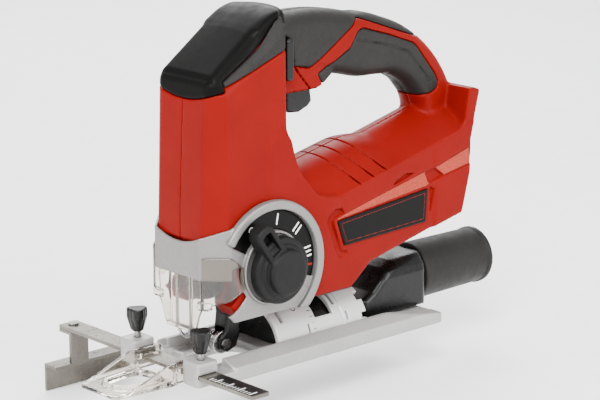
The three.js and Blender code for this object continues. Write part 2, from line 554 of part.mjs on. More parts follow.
/** The clear guard: a front plate behind the cover's edge, and ears that clip over its sides. */
function bladeGuard() {
  const plan = (out) => slab('z', inset(HEAD_PLAN, -out), 30, 120);
  const layer = common(cut(plan(3.5), plan(2.1)), box(-100.8, -70, -60, 60, 0, TALL));
  const ears = common(layer, slab('y', EAR_SIDE, -60, 60));
  const front = slab('x', [[-19.4, 42.6], [-12.6, 41.4], [-10.4, 27.6, 1.5], [10.4, 27.6, 1.5], [12.6, 41.4],
    [19.4, 42.6], [19.4, 68], [-19.4, 68]], -99.4, -97.9);
  const bridge = common(cut(plan(3.5), plan(-2)), box(-100.8, -95.6, -60, 60, 43.4, 47.6),
    join(box(-TALL, 0, -26, -17, 0, TALL), box(-TALL, 0, 17, 26, 0, TALL)));
  return join(ears, front, bridge);
}

piece('blade_guard', bladeGuard(), CLEAR);

// ---------------------------------------------------------------- electrics

piece('control_board', box(-30, 12, -22, 22, 46, 47.6), BOARD);
piece('terminal_block', join(box(99, 106, -13, 13, 88, 109),
  ...[-8, 0, 8].map((y) => box(105, 112.5, y - 0.6, y + 0.6, 91, 106))), BLACK);
for (const [side, from, to] of [['left', -21.6, -18.4], ['right', 18.4, 21.6]]) {
  piece(`battery_rail_${side}`, box(101, 112.5, from, to, 79, 113), STEEL);
}

// ---------------------------------------------------------------- base

/** The cast sole: a trough between two ridges, slotted at the blade, with the rail's clamp blocks. */
function basePlate() {
  const rim = [[-PLATE.half, 0], [-PLATE.half, PLATE.side], [-PLATE.ridgeHalf, PLATE.ridge], [-25.6, PLATE.ridge],
    [-25.6, TILT.z], [25.6, TILT.z], [25.6, PLATE.ridge], [PLATE.ridgeHalf, PLATE.ridge], [PLATE.half, PLATE.side],
    [PLATE.half, 0]];
  const side = [[PLATE.front, 0], [PLATE.rear, 0], [PLATE.rear, 6.4], [45, PLATE.ridge], [PLATE.front, PLATE.ridge]];
  const plan = [[PLATE.front, -PLATE.half, 3], [PLATE.rear, -PLATE.half, 5], [PLATE.rear, PLATE.half, 5],
    [PLATE.front, PLATE.half, 3]];
  const body = common(slab('x', rim, PLATE.front, PLATE.rear), slab('y', side, -60, 60), slab('z', plan, -1, 30));
  const pan = box(-86, -46, -24.5, 24.5, PLATE.pan, 30);
  const slot = slab('z', [[-95, -PLATE.slot], [-50, -PLATE.slot, 5], [-50, PLATE.slot, 5], [-95, PLATE.slot]], -1, 30);
  const screw = join(bar('z', -10, 0, 2.5 + GAP, -1, 10, 14), bar('z', -10, 0, 5.2, -1, 3.4, 16));
  const blocks = [-1, 1].map((side) => clampBlock(side));
  return cut(join(body, ...blocks), pan, slot, screw);
}

/** One of the two blocks that the rail slides through, with a threaded hole over the slot. */
function clampBlock(side) {
  const block = slab('z', [[BLOCK.front, BLOCK.inner, 2], [-101, BLOCK.inner], [-101, PLATE.half],
    [BLOCK.front, PLATE.half, 3]], BLOCK.low, BLOCK.high);
  const web = box(-103, -86, BLOCK.inner, PLATE.half, 0, 7.4);
  const slot = box(RAIL.front - GAP, RAIL.rear + GAP, 0, 60, RAIL.low - GAP, RAIL.high + GAP);
  const hole = bar('z', STUD.x, STUD.y, STUD.r + GAP, 9, 30, 14);
  const body = cut(join(block, web), slot, hole);
  return side > 0 ? body : mirrorY(body);
}

piece('base_plate', basePlate(), CASTING);

const half = (r, low) => {
  const start = THREE.MathUtils.radToDeg(Math.asin(low / r));
  return arc(0, TILT.z, r, start, 180 - start, 24);
};
piece('bevel_scale', cut(
  slab('x', half(TILT.collar - 0.7, 0.4), TILT.front, TILT.rear),
  slab('x', half(TILT.collar - 4, -0.4), TILT.front - 1, TILT.rear + 1),
  slab('x', arc(0, TILT.z, 40, 35, 145, 8).concat([[0, TILT.z]]), -9, 5.6),
), WHITE);
piece('clamp_shoe', cut(slab('x', half(TILT.collar - 4.4, 0.6), -36, 24), bar('z', -10, 0, 2.8, 0, 24, 14)), BLACK);
piece('bevel_clamp_screw', cut(join(bar('z', 0, 0, 2.5, 1, 22, 12), bar('z', 0, 0, 4.6, 0.6, 3, 16)),
  bar('z', 0, 0, 2, 0, 2.2, 6)), DARK_STEEL, [-10, 0, 0]);

const saddleArc = arc(0, TILT.z, TILT.collar + 0.1, 64, 116, 8);
piece('tilt_saddle', slab('x', [...saddleArc, [-14, 36.5], [14, 36.5]], -41, 31), BLACK);

for (const [side, sign] of [['left', -1], ['right', 1]]) {
  const lobes = Array.from({ length: 3 }, (_, i) => {
    const [s, c] = [Math.sin((i * 2 * Math.PI) / 3), Math.cos((i * 2 * Math.PI) / 3)];
    return bar('z', 3.4 * c, 3.4 * s, 3.7, 23, 35.6, 12);
  });
  piece(`clamp_knob_${side}`, cut(join(turned([[0, 21], [3.6, 21], [5.2, 24], [5.6, 35], [0, 35]], 16), ...lobes),
    bar('z', 0, 0, STUD.r + GAP, 20, 32, 14)), BLACK, [STUD.x, sign * STUD.y, 0]);
  piece(`clamp_stud_${side}`, bar('z', 0, 0, STUD.r, RAIL.high + GAP, 31.6, 14), STEEL,
    [STUD.x, sign * STUD.y, 0]);
}

// ---------------------------------------------------------------- parallel guide

const FENCE = { front: -128, rear: -62, top: -13, low: -30.5, inner: 88, outer: 100, sheet: 2 };
const RIVET = { x: (RAIL.front + RAIL.rear) / 2, y: 94, r: 2 };
const rivetHole = bar('z', RIVET.x, RIVET.y, RIVET.r + GAP, 0, 20, 12);
piece('guide_rail', cut(
  slab('z', [[RAIL.front, RAIL.near, 1.5], [RAIL.rear, RAIL.near, 1.5], [RAIL.rear, RAIL.far], [RAIL.front, RAIL.far]],
    RAIL.low, RAIL.high),
  rivetHole,
), STEEL);
piece('guide_fence', cut(join(
  box(FENCE.front, FENCE.rear, FENCE.outer - FENCE.sheet, FENCE.outer, FENCE.low, FENCE.top),
  box(FENCE.front, FENCE.rear, FENCE.inner, FENCE.outer, FENCE.top - FENCE.sheet, FENCE.top),
  box(RAIL.front, RAIL.rear, FENCE.inner, FENCE.inner + FENCE.sheet, FENCE.top - 1, RAIL.low - GAP),
  box(RAIL.front, RAIL.rear, FENCE.inner, FENCE.outer, RAIL.low - GAP - FENCE.sheet, RAIL.low - GAP),
), rivetHole), STEEL);
piece('fence_rivet', join(bar('z', 0, 0, RIVET.r, 4.4, 11.4, 12), bar('z', 0, 0, 3.4, 10.3, 11.4, 16),
  bar('z', 0, 0, 3.4, 4, 5.2, 16)), STEEL, [RIVET.x, RIVET.y, 0]);

/** The clear cutting guide: a lipped plate with an eye to see the line through, hung on the rail. */
function cutGuide() {
  const plate = slab('z', [[-163, -17.3, 3], [-119, -21, 2], [-119, 21, 2], [-163, 17.3, 3]], 1, 3.4);
  const eye = slab('z', [[-152, -9, 8], [-122.5, -11, 8], [-122.5, 11, 8], [-152, 9, 8]], 0, 5);
  const side = (y) => join(
    slab('y', [[-158, 3], [-118, 3], [-118, 14.6], [-124, 14.6]], y - 1.1, y + 1.1),
    box(-119.5, -101.3, y - 2.3, y + 2.3, 1, 14.6),
  );
  const slot = box(RAIL.front - GAP, RAIL.rear + GAP, -60, 60, RAIL.low - GAP, RAIL.high + GAP);
  return cut(join(cut(plate, eye), side(-18.2), side(18.2)), slot);
}

piece('cut_guide', cutGuide(), CLEAR);

// ---------------------------------------------------------------- dust extraction

const ductSide = (out) => inset([[36, 6.6], [92, 6.6], [92, 43.4, 3], [58, 38, 6], [44, 24, 4], [36, 20]], -out);
const ductFront = (out) => inset([[-18.8, 6.6, 3], [18.8, 6.6, 3], [18.8, 32, 5], [11, 43.6, 3], [-11, 43.6, 3],
  [-18.8, 32, 5]], -out);
piece('dust_duct', cut(
  common(slab('y', ductSide(0), -20, 20), slab('x', ductFront(0), 30, 100)),
  common(slab('y', ductSide(-PORT.wall), -20, 20), slab('x', ductFront(-PORT.wall), 30, 100)),
  box(30, 40, -16, 16, 8.6, 18),
  bar('x', 0, PORT.z, 15.6, 84, 95, 28),
), BLACK);
piece('dust_port', cut(
  join(bar('x', 0, PORT.z, PORT.r, PORT.front + GAP, PORT.rear, 36), bar('x', 0, PORT.z, 15.2, 86, 94, 28)),
  bar('x', 0, PORT.z, PORT.r - PORT.wall, PORT.front + 4, PORT.rear + 1, 36),
  bar('x', 0, PORT.z, 13.4, 80, 120, 28),
), BLACK);

export default jigsaw;
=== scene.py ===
"""Looks for the cordless jigsaw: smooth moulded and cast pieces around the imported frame.

Shapes are signed distance fields, in millimetres, meshed by surface nets. A field is negative
inside. Places and main sizes repeat those of part.mjs, and every piece rides on a frame body.
The rear is +X, up is +Z and the dial faces -Y. An outline is a closed list of points in a plane:
[x, z] from the side, [x, y] from above, [y, z] from the front.
"""

import json
import math

import bpy
import numpy as np
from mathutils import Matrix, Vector


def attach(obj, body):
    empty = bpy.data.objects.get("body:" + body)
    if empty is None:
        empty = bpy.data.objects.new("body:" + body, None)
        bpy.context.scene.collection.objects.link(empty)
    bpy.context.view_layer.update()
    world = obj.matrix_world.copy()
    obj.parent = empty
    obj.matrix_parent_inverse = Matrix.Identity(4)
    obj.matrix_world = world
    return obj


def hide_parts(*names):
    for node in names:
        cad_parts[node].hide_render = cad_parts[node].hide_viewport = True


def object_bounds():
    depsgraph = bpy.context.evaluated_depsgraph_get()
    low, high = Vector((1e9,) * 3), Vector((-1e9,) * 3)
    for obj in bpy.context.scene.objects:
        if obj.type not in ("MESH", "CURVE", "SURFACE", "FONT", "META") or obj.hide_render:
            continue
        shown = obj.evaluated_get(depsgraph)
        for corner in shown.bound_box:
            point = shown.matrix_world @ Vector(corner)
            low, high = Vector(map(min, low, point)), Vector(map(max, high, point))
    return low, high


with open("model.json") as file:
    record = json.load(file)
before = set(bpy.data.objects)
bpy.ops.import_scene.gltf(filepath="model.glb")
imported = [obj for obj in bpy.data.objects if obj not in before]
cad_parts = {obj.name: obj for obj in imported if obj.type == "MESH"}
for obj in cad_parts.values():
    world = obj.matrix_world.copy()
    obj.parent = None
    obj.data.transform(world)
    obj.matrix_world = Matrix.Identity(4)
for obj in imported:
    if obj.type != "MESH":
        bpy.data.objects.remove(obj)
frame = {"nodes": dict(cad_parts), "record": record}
CAD_BOX = [list(corner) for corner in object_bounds()]
NODES = frame["nodes"]
MM = 0.001
FAR = 1e3

# ---------------------------------------------------------------- distance fields


def outline(u, v, points):
    """Distance to a closed outline of [u, v] points in a plane."""
    best = np.float32(FAR * FAR)
    flips = False
    for (au, av), (bu, bv) in zip(points, points[1:] + points[:1]):
        eu, ev = bu - au, bv - av
        wu, wv = u - au, v - av
        t = np.clip((wu * eu + wv * ev) / (eu * eu + ev * ev), 0, 1)
        best = np.minimum(best, (wu - eu * t) ** 2 + (wv - ev * t) ** 2)
        above, below, right = wv >= 0, v < bv, eu * wv > ev * wu
        flips = flips ^ ((above & below & right) | (~above & ~below & ~right))
    return np.where(flips, -1, 1) * np.sqrt(best)


def both(*fields, k=0.0):
    """The common part, its new edges rounded over about k."""
    result = fields[0]
    for field in fields[1:]:
        if k:
            h = np.maximum(k - np.abs(result - field), 0) / k
            result = np.maximum(result, field) + h * h * k / 4
        else:
            result = np.maximum(result, field)
    return result


def join(*fields, k=0.0):
    """The union, its inner corners filled over about k."""
    return -both(*(-field for field in fields), k=k)


def less(field, *tools, k=0.0):
    """The field without the tools."""
    return both(field, *(-tool for tool in tools), k=k)


def within(value, low, high):
    """Negative between low and high."""
    return np.maximum(low - value, value - high)


def round_box(x, y, z, low, high, r=0.0):
    """A box between two corners with edges of radius r."""
    q = [np.abs(value - (a + b) / 2) - ((b - a) / 2 - r) for value, a, b in zip((x, y, z), low, high)]
    outside = np.sqrt(sum(np.maximum(value, 0) ** 2 for value in q))
    return outside + np.minimum(np.maximum(np.maximum(q[0], q[1]), q[2]), 0) - r


def rod(a, b, r):
    """A round bar along the third axis, from its two other coordinates."""
    return np.sqrt(a * a + b * b) - r


def capsule(x, y, z, start, end, r):
    """A round bar with round ends."""
    e = [b - a for a, b in zip(start, end)]
    w = [value - a for value, a in zip((x, y, z), start)]
    t = np.clip(sum(p * q for p, q in zip(w, e)) / sum(p * p for p in e), 0, 1)
    return np.sqrt(sum((p - q * t) ** 2 for p, q in zip(w, e))) - r


def curve(points, steps=6):
    """A Catmull-Rom curve through [u, v] points."""
    ends = [points[0]] + points + [points[-1]]
    out = []
    for i in range(1, len(ends) - 2):
        p0, p1, p2, p3 = (np.array(p, float) for p in ends[i - 1:i + 3])
        for t in np.arange(steps) / steps:
            out.append(tuple(0.5 * (2 * p1 + (p2 - p0) * t + (2 * p0 - 5 * p1 + 4 * p2 - p3) * t * t
                                    + (3 * p1 - p0 - 3 * p2 + p3) * t ** 3)))
    return out + [tuple(points[-1])]


def axis(low, high, step, fine=()):
    """Grid lines from low to high, closer together inside each (from, to, step)."""
    lines = [low]
    while lines[-1] < high:
        here = [s for a, b, s in fine if a <= lines[-1] < b] or [step]
        stop = min([a for a, _, _ in fine if a > lines[-1]] + [FAR])
        lines.append(min(lines[-1] + here[0], stop))
    return np.array(lines, np.float32)


CORNERS = [(i, j, k) for i in (0, 1) for j in (0, 1) for k in (0, 1)]
EDGES = [(a, b) for a in CORNERS for b in CORNERS
         if sum(b) - sum(a) == 1 and all(q >= p for p, q in zip(a, b))]


def surface(field, lines):
    """Vertices and quads of the field's zero surface on a grid."""
    field = np.where(field == 0, np.float32(1e-6), field)  # a corner on the surface counts as outside
    inside = field < 0
    count = sum(inside[tuple(slice(c, inside.shape[n] - 1 + c) for n, c in enumerate(corner))].astype(np.int8)
                for corner in CORNERS)
    cells = np.argwhere((count > 0) & (count < 8))
    index = np.full(count.shape, -1, np.int32)
    index[tuple(cells.T)] = np.arange(len(cells))
    total = np.zeros((len(cells), 3))
    crossings = np.zeros(len(cells))
    for a, b in EDGES:
        ia, ib = cells + a, cells + b
        fa, fb = field[tuple(ia.T)], field[tuple(ib.T)]
        hit = (fa < 0) != (fb < 0)
        t = np.where(hit, fa / np.where(hit, fa - fb, 1), 0)
        for n in range(3):
            pa, pb = lines[n][ia[:, n]], lines[n][ib[:, n]]
            total[:, n] += np.where(hit, pa + t * (pb - pa), 0)
        crossings += hit
    verts = total / crossings[:, None]
    quads = []
    for n in range(3):
        low = [slice(1, -1)] * 3
        low[n] = slice(0, -1)
        high = list(low)
        high[n] = slice(1, None)
        start, end = inside[tuple(low)], inside[tuple(high)]
        at = np.argwhere(start != end)
        out = start[tuple(at.T)]
        offset = np.array([1, 1, 1])
        offset[n] = 0
        at = at + offset
        p, q = [m for m in range(3) if m != n]
        around = []
        for dp, dq in ((-1, -1), (0, -1), (0, 0), (-1, 0)):
            cell = at.copy()
            cell[:, p] += dp
            cell[:, q] += dq
            around.append(index[tuple(cell.T)])
        ring = np.stack(around, 1)
        flip = out if n != 1 else ~out
        ring[~flip] = ring[~flip][:, ::-1]
        quads.append(ring)
    return verts, np.concatenate(quads)


def new_object(name, verts, faces, smooth=True):
    """A mesh object from vertices in millimetres and faces of one length."""
    mesh = bpy.data.meshes.new(name)
    verts = np.asarray(verts, np.float32) * MM
    faces = np.asarray(faces, np.int32)
    mesh.vertices.add(len(verts))
    mesh.vertices.foreach_set("co", verts.ravel())
    mesh.loops.add(faces.size)
    mesh.loops.foreach_set("vertex_index", faces.ravel())
    mesh.polygons.add(len(faces))
    mesh.polygons.foreach_set("loop_start", np.arange(0, faces.size, faces.shape[1], dtype=np.int32))
    mesh.update(calc_edges=True)
    mesh.validate()
    if smooth:
        mesh.shade_smooth()
    obj = bpy.data.objects.new(name, mesh)
    bpy.context.scene.collection.objects.link(obj)
    return obj


def thin(obj, ratio):
    """Fewer faces where the surface is flat, with the modifier applied."""
    tool = obj.modifiers.new("thin", "DECIMATE")
    tool.ratio = ratio
    graph = bpy.context.evaluated_depsgraph_get()
    mesh = bpy.data.meshes.new_from_object(obj.evaluated_get(graph))
    obj.modifiers.clear()
    obj.data = mesh
    obj.data.shade_smooth()


def sculpt(name, field, low, high, step, body, material, replaces, slot, fine=((), (), ()), ratio=None):
    """A piece from a field, sampled in a box between two corners."""
    lines = [axis(a, b, step, f) for a, b, f in zip(low, high, fine)]
    x, y, z = lines[0][:, None, None], lines[1][None, :, None], lines[2][None, None, :]
    values = np.broadcast_to(field(x, y, z), [len(line) for line in lines])
    obj = new_object(name, *surface(values.astype(np.float32), lines))
    if ratio:
        thin(obj, ratio)
    obj.data.materials.append(material)
    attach(obj, body)
    if replaces:
        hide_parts(*replaces)


SIDES = (("left", -1), ("right", 1))
SEAM = 0.12  # half the gap between two halves
OVERLAP = 0.4  # how far a half's grid runs past the middle plane


def sculpt_half(name, sign, field, low, high, reach, *rest, **options):
    """One side of a shape split along the middle plane, between two [x, z] corners."""
    near, far = (-reach, OVERLAP) if sign < 0 else (-OVERLAP, reach)
    sculpt(name, lambda x, y, z: both(field(x, y, z), SEAM - sign * y), (low[0], near, low[1]),
           (high[0], far, high[1]), *rest, **options)


# ---------------------------------------------------------------- camera, lights and world

camera = bpy.data.objects.new("camera", bpy.data.cameras.new("camera"))
bpy.context.scene.collection.objects.link(camera)
camera.data.lens = 132
camera.data.sensor_width = 36
camera.location = (-0.89297, -0.97518, 0.42898)
LOOK_AT = Vector((-0.00251, 0, 0.08992))
camera.rotation_euler = (LOOK_AT - camera.location).to_track_quat("-Z", "Y").to_euler()
bpy.context.scene.camera = camera


CENTRE = (CAD_BOX[0][0] / 2 + CAD_BOX[1][0] / 2, 0, 0.1)


def lamp(name, location, size, watts):
    """A soft square light aimed at the tool."""
    data = bpy.data.lights.new(name, "AREA")
    data.size, data.energy = size, watts
    obj = bpy.data.objects.new(name, data)
    obj.location = location
    obj.rotation_euler = (Vector(CENTRE) - obj.location).to_track_quat("-Z", "Y").to_euler()
    bpy.context.scene.collection.objects.link(obj)


lamp("key", (-1.1, -1.0, 1.5), 0.9, 84)
lamp("side", (0.5, -1.7, 0.8), 1.0, 38)
lamp("front", (-1.9, 0.3, 0.6), 1.0, 20)
lamp("back", (0.9, 1.3, 1.4), 1.2, 48)

world = bpy.data.worlds.new("studio")
world.use_nodes = True
world.node_tree.nodes["Background"].inputs["Color"].default_value = (1, 1, 1, 1)
world.node_tree.nodes["Background"].inputs["Strength"].default_value = 1.5
bpy.context.scene.world = world

# ---------------------------------------------------------------- materials


def finish_of(name, color, rough, metal=0.0, spec=0.5, coat=0.0, grain=0.5, depth=0.03,
              tone=0.05, spread=0.05, fleck=0.0, clear=0.0, brushed=None):
    """A procedural finish. Grain and bump depth are in millimetres; tone, spread and fleck are shares."""
    mat = bpy.data.materials.new(name)
    mat.use_nodes = True
    tree = mat.node_tree
    shader = tree.nodes["Principled BSDF"]
    coords = tree.nodes.new("ShaderNodeTexCoord").outputs["Object"]

    def noise(size, detail=2.0, stretch=None):
        node = tree.nodes.new("ShaderNodeTexNoise")
        node.inputs["Scale"].default_value = 1 / (size * MM)
        node.inputs["Detail"].default_value = detail
        source = coords
        if stretch:
            mapping = tree.nodes.new("ShaderNodeMapping")
            mapping.inputs["Scale"].default_value = stretch
            tree.links.new(coords, mapping.inputs["Vector"])
            source = mapping.outputs["Vector"]
        tree.links.new(source, node.inputs["Vector"])
        return node.outputs["Fac"]

    def ranged(value, low, high, start=0.35, stop=0.65):
        node = tree.nodes.new("ShaderNodeMapRange")
        for key, number in (("From Min", start), ("From Max", stop), ("To Min", low), ("To Max", high)):
            node.inputs[key].default_value = number
        tree.links.new(value, node.inputs["Value"])
        return node.outputs["Result"]

    def mixed(factor, a, b):
        node = tree.nodes.new("ShaderNodeMix")
        node.data_type = "RGBA"
        tree.links.new(factor, node.inputs["Factor"])
        for socket, value in ((node.inputs["A"], a), (node.inputs["B"], b)):
            if isinstance(value, tuple):
                socket.default_value = (*value, 1)
            else:
                tree.links.new(value, socket)
        return node.outputs["Result"]

    def toned(share):
        return tuple(min(channel * share, 1.0) for channel in color)

    shade = mixed(ranged(noise(28), 0, 1), toned(1 - tone), toned(1 + tone))
    if fleck:
        shade = mixed(ranged(noise(grain * 1.2, 1), 0, fleck, 0.5, 0.75), shade, toned(2.6))
    tree.links.new(shade, shader.inputs["Base Color"])
    tree.links.new(ranged(noise(5), max(rough - spread, 0.02), rough + spread), shader.inputs["Roughness"])
    bump = tree.nodes.new("ShaderNodeBump")
    bump.inputs["Strength"].default_value = 1.0
    bump.inputs["Distance"].default_value = depth * MM
    tree.links.new(noise(grain, 2, brushed), bump.inputs["Height"])
    tree.links.new(bump.outputs["Normal"], shader.inputs["Normal"])
    shader.inputs["Metallic"].default_value = metal
    shader.inputs["Specular IOR Level"].default_value = spec
    shader.inputs["Coat Weight"].default_value = coat
    shader.inputs["Coat Roughness"].default_value = 0.2
    if clear:
        shader.inputs["Transmission Weight"].default_value = clear
        shader.inputs["IOR"].default_value = 1.45
    return mat


RED = finish_of("red_plastic", (0.135, 0.0024, 0.0014), 0.4, grain=0.35, depth=0.015, tone=0.04, fleck=0.05,
                spec=0.05)
ACCENT = finish_of("speckled_band", (0.22, 0.028, 0.017), 0.6, spec=0.1, grain=0.7, depth=0.04, tone=0.05,
                   fleck=0.45)
RUBBER = finish_of("speckled_rubber", (0.009, 0.0085, 0.008), 0.55, grain=0.55, depth=0.04, tone=0.12,
                   fleck=0.4, spec=0.14)
LID = finish_of("grained_black", (0.0015, 0.0014, 0.0013), 0.45, grain=0.5, depth=0.02, fleck=0.1, spec=0.05)
BLACK = finish_of("black_plastic", (0.003, 0.003, 0.003), 0.3, grain=0.6, depth=0.008, fleck=0.06, spec=0.2)
KNOB = finish_of("knob_plastic", (0.004, 0.004, 0.004), 0.5, grain=0.5, depth=0.03, fleck=0.35, spec=0.12)
PRINT = finish_of("label_print", (0.0015, 0.0016, 0.0014), 0.35, spec=0.08, grain=0.8, depth=0.006)
RED_PRINT = finish_of("red_print", (0.16, 0.004, 0.003), 0.4, spec=0.1, grain=0.8, depth=0.006)
WHITE_PRINT = finish_of("white_print", (0.75, 0.75, 0.74), 0.45, grain=0.8, depth=0.006)
BLACK_PRINT = finish_of("black_print", (0.004, 0.004, 0.004), 0.4, grain=0.8, depth=0.006)
SILVER = finish_of("silver_paint", (0.155, 0.15, 0.146), 0.4, metal=0.45, grain=0.45, depth=0.03, tone=0.03,
                   fleck=0.2, coat=0.05)
CAST = finish_of("blasted_cast", (0.27, 0.265, 0.26), 0.45, metal=0.3, grain=0.7, depth=0.06, tone=0.05,
                 fleck=0.1)
COLLAR = finish_of("white_collar", (0.46, 0.455, 0.45), 0.35, metal=0.2, grain=0.5, depth=0.02, tone=0.03)
STEEL = finish_of("bright_steel", (0.30, 0.295, 0.285), 0.24, metal=1.0, grain=0.6, depth=0.02,
                  brushed=(1, 12, 12))
SHEET = finish_of("sheet_steel", (0.125, 0.115, 0.098), 0.3, metal=0.75, grain=1.1, depth=0.03, tone=0.25,
                  spread=0.1, brushed=(1, 6, 6))
DARK = finish_of("dark_steel", (0.05, 0.05, 0.053), 0.32, metal=0.9, grain=0.5, depth=0.02)
CLEAR = finish_of("clear_plastic", (0.80, 0.74, 0.66), 0.07, grain=3.0, depth=0.02, clear=1.0, tone=0.01,
                  spread=0.02)
COPPER = finish_of("copper", (0.5, 0.22, 0.1), 0.35, metal=1.0, grain=0.6, depth=0.05)
BOARD = finish_of("board", (0.02, 0.13, 0.05), 0.4, grain=0.8, depth=0.03)
BRONZE = finish_of("bronze", (0.45, 0.32, 0.14), 0.4, metal=1.0, grain=0.5, depth=0.02)
SLOT_FINISH = {
    "casing_red": RED, "soft_grip": RUBBER, "black_plastic": BLACK, "silver_cover": SILVER, "casting": CAST,
    "steel": STEEL, "dark_steel": DARK, "clear_plastic": CLEAR, "scale_white": COLLAR, "copper": COPPER,
    "board": BOARD, "bronze": BRONZE,
}
for row in frame["record"]["subparts"]:
    slots = NODES[row["node"]].data.materials
    slots.clear()
    slots.append(SHEET if row["node"] in ("guide_fence", "guide_rail") else SLOT_FINISH[row["material_slot"]])

# ---------------------------------------------------------------- casing

WALL, SKIN, GROOVE = 4.4, 2.2, 0.35
HEAD_HALF, BODY_HALF, BOTTOM = 31, 33, 36.8  # half widths of the head and the body, and the underside
ROOF_AT = (-86, 184)  # a point of the head's sloping roof
CAP_Z, CREST_Z = 218, 217.4  # tops of the head's cap and of the lid's rear end
HEAD_SIDE = [(-99.5, 87), (-95, 178), (-92.5, 230), (-39.6, 230), (-39.6, 37), (-80, 37), (-87, 46),
             (-87, 61.5), (-99.5, 61.5)]
HEAD_PLAN = [(-99.5, -20), (-87, -31), (-20, -31), (-20, 31), (-87, 31), (-99.5, 20)]
ROOF_SLOPE = math.atan2(29, 44)
BODY_SIDE = [(-46, 36.8), (13, 36.8), (18, 40.9), (29.1, 50.4), (108.8, 69.1), (115.5, 95.5), (115.5, 116),
             (119, 132), (108, 137), (-46, 137)]
FLANGE = [(84, 64), (108.8, 69.1), (115.6, 95.8), (115.6, 116.1), (123.7, 147.7), (119, 149.4), (114, 149.4),
          (111.4, 134.5), (110.2, 128.8), (105.2, 123.7), (97, 120), (84, 114)]
RIDGE = (67, 129.4, math.radians(14), 0.54)
HUMP = {"start": (-24, 0, 80.6), "end": (35, 0, 93.8), "r": 31.3}
BACK_LINE = curve([(-54, 183), (-40, 188.6), (-24, 190.5), (-1, 191), (22.4, 188), (39.7, 183.8), (53.3, 179.5),
                   (68.7, 173.4), (84, 163), (95.5, 150), (102.5, 136), (106, 120)])
PALM_LINE = curve([(-54, 180), (-40, 187), (-24, 189.6), (0, 189.6), (21.4, 186.4), (33.6, 183.6),
                   (45.7, 183.2), (57, 182.8), (72, 181), (90, 172.5), (100, 163.5), (108, 153), (113, 140),
                   (114, 120)])
WEB = curve([(-1.3, 97.5), (-11.3, 99.7), (-17.9, 103.2), (-24.5, 111), (-33, 121.6), (-39.6, 134)]) + [
    (-46, 134), (-46, 70), (-1.3, 70)]
MOUTH = [(-50, 161.8), (-1, 161.8), (4, 163.4), (12.6, 170), (12.6, 181), (-50, 181)]


def line_distance(u, v, points):
    """Distance to an open line."""
    best = np.float32(FAR * FAR)
    for (au, av), (bu, bv) in zip(points, points[1:]):
        eu, ev = bu - au, bv - av
        t = np.clip(((u - au) * eu + (v - av) * ev) / (eu * eu + ev * ev), 0, 1)
        best = np.minimum(best, (u - au - eu * t) ** 2 + (v - av - ev * t) ** 2)
    return np.sqrt(best)


def bar_field(x, y, z, line, half, tall, r):
    """A bar of rounded section swept along a line in the plane y = 0."""
    across, up = np.abs(y) - (half - r), line_distance(x, z, line) - (tall - r)
    outside = np.sqrt(np.maximum(across, 0) ** 2 + np.maximum(up, 0) ** 2)
    return outside + np.minimum(np.maximum(across, up), 0) - r


def head_field(x, y, z):
    ay = np.abs(y)
    cos, sin = math.cos(ROOF_SLOPE), math.sin(ROOF_SLOPE)
    flat = (z - ROOF_AT[1]) * cos - (x - ROOF_AT[0]) * sin
    crown = 3.4 * np.clip((x + 96) / 34, 0, 1) * (1 - (ay / 38) ** 2) + 1.4 * np.clip((x + 92.6) / 1.6, 0, 1)
    shoulder = ((ay - 23) * 13 + (flat - crown * 0.6) * 8) / math.hypot(13, 8)
    draft = 1.5 * np.clip((z - 87) / 91, 0, 1.3)
    walls = both(outline(x, z, HEAD_SIDE), outline(x, y, HEAD_PLAN) + draft, k=2.4)
    roof = both(both(flat - crown, shoulder, k=3.6), z - CAP_Z + 0.004 * y * y, k=7.0)
    return both(walls, roof, k=1.8)


def handle_field(x, y, z):
    ay = np.abs(y)
    half = 17 - 3.6 * np.clip((x - 24) / 88, 0, 1.2)
    bar = both(bar_field(x, y, z, BACK_LINE, 17, 20.5, 13.5), bar_field(x, y, z, PALM_LINE, 17, 20.5, 13.5),
               ay - half, k=2.0)
    mouth = both(outline(x, z, MOUTH), ay - 14, k=3.0)
    return join(bar, mouth, k=1.0)


def wall_field(x, y, z):
    """The casing's side walls: flush with the head in front, a little wider behind, drafted at the bottom."""
    ay = np.abs(y)
    step = np.clip((-6 - x) / 32, 0, 1)
    inset = BODY_HALF - HEAD_HALF
    side = ay - BODY_HALF + inset * step * step * (3 - 2 * step)
    draft = ((ay - HEAD_HALF) * 43.2 - (z - BOTTOM) * inset) / 43.25  # 2 mm in over the lowest 43.2 mm
    return both(side, draft)


def body_field(x, y, z):
    side = both(outline(x, z, BODY_SIDE), wall_field(x, y, z), k=3.0)
    x0, z0, rise, fall = RIDGE
    up = (z - z0) * math.cos(rise) - (x - x0) * math.sin(rise)
    soft = np.sqrt(y * y + 36) - 6
    roof = (up + fall * soft) / math.sqrt(1 + fall * fall)
    hump = capsule(x, y, z, HUMP["start"], HUMP["end"], HUMP["r"])
    return both(side, join(roof, hump, k=5.0), k=0.5)


def crest_field(x, y, z):
    """The lid's rounded rear end, which runs out over the handle."""
    top = z - CREST_Z + 0.015 * np.maximum(x + 40, 0) ** 2 + 0.006 * y * y
    slope = (z - 187.6) * math.cos(ROOF_SLOPE) - (x - ROOF_AT[0]) * math.sin(ROOF_SLOPE)
    return both(top, slope, outline(x, y, LID_PLAN), 202 - z, -60 - x, k=4.0)


def casing_field(x, y, z):
    """The casing's outside, with the grips and the lid."""
    web = both(outline(x, z, WEB), wall_field(x, y, z))
    shell = join(join(body_field(x, y, z), web, k=3.0), head_field(x, y, z), k=14.0)
    shell = both(shell, wall_field(x, y, z), BOTTOM - z, k=0.5)
    flange = both(outline(x, z, FLANGE), np.abs(y) - BODY_HALF, k=1.2)
    flange = less(flange, outline(y, z, [(20, 160), (24, 127), (34, 119), (60, 119), (60, 160)]), k=2.0)
    top = join(handle_field(x, y, z), crest_field(x, y, z), k=7.0)
    return join(shell, flange, top, k=2.4)


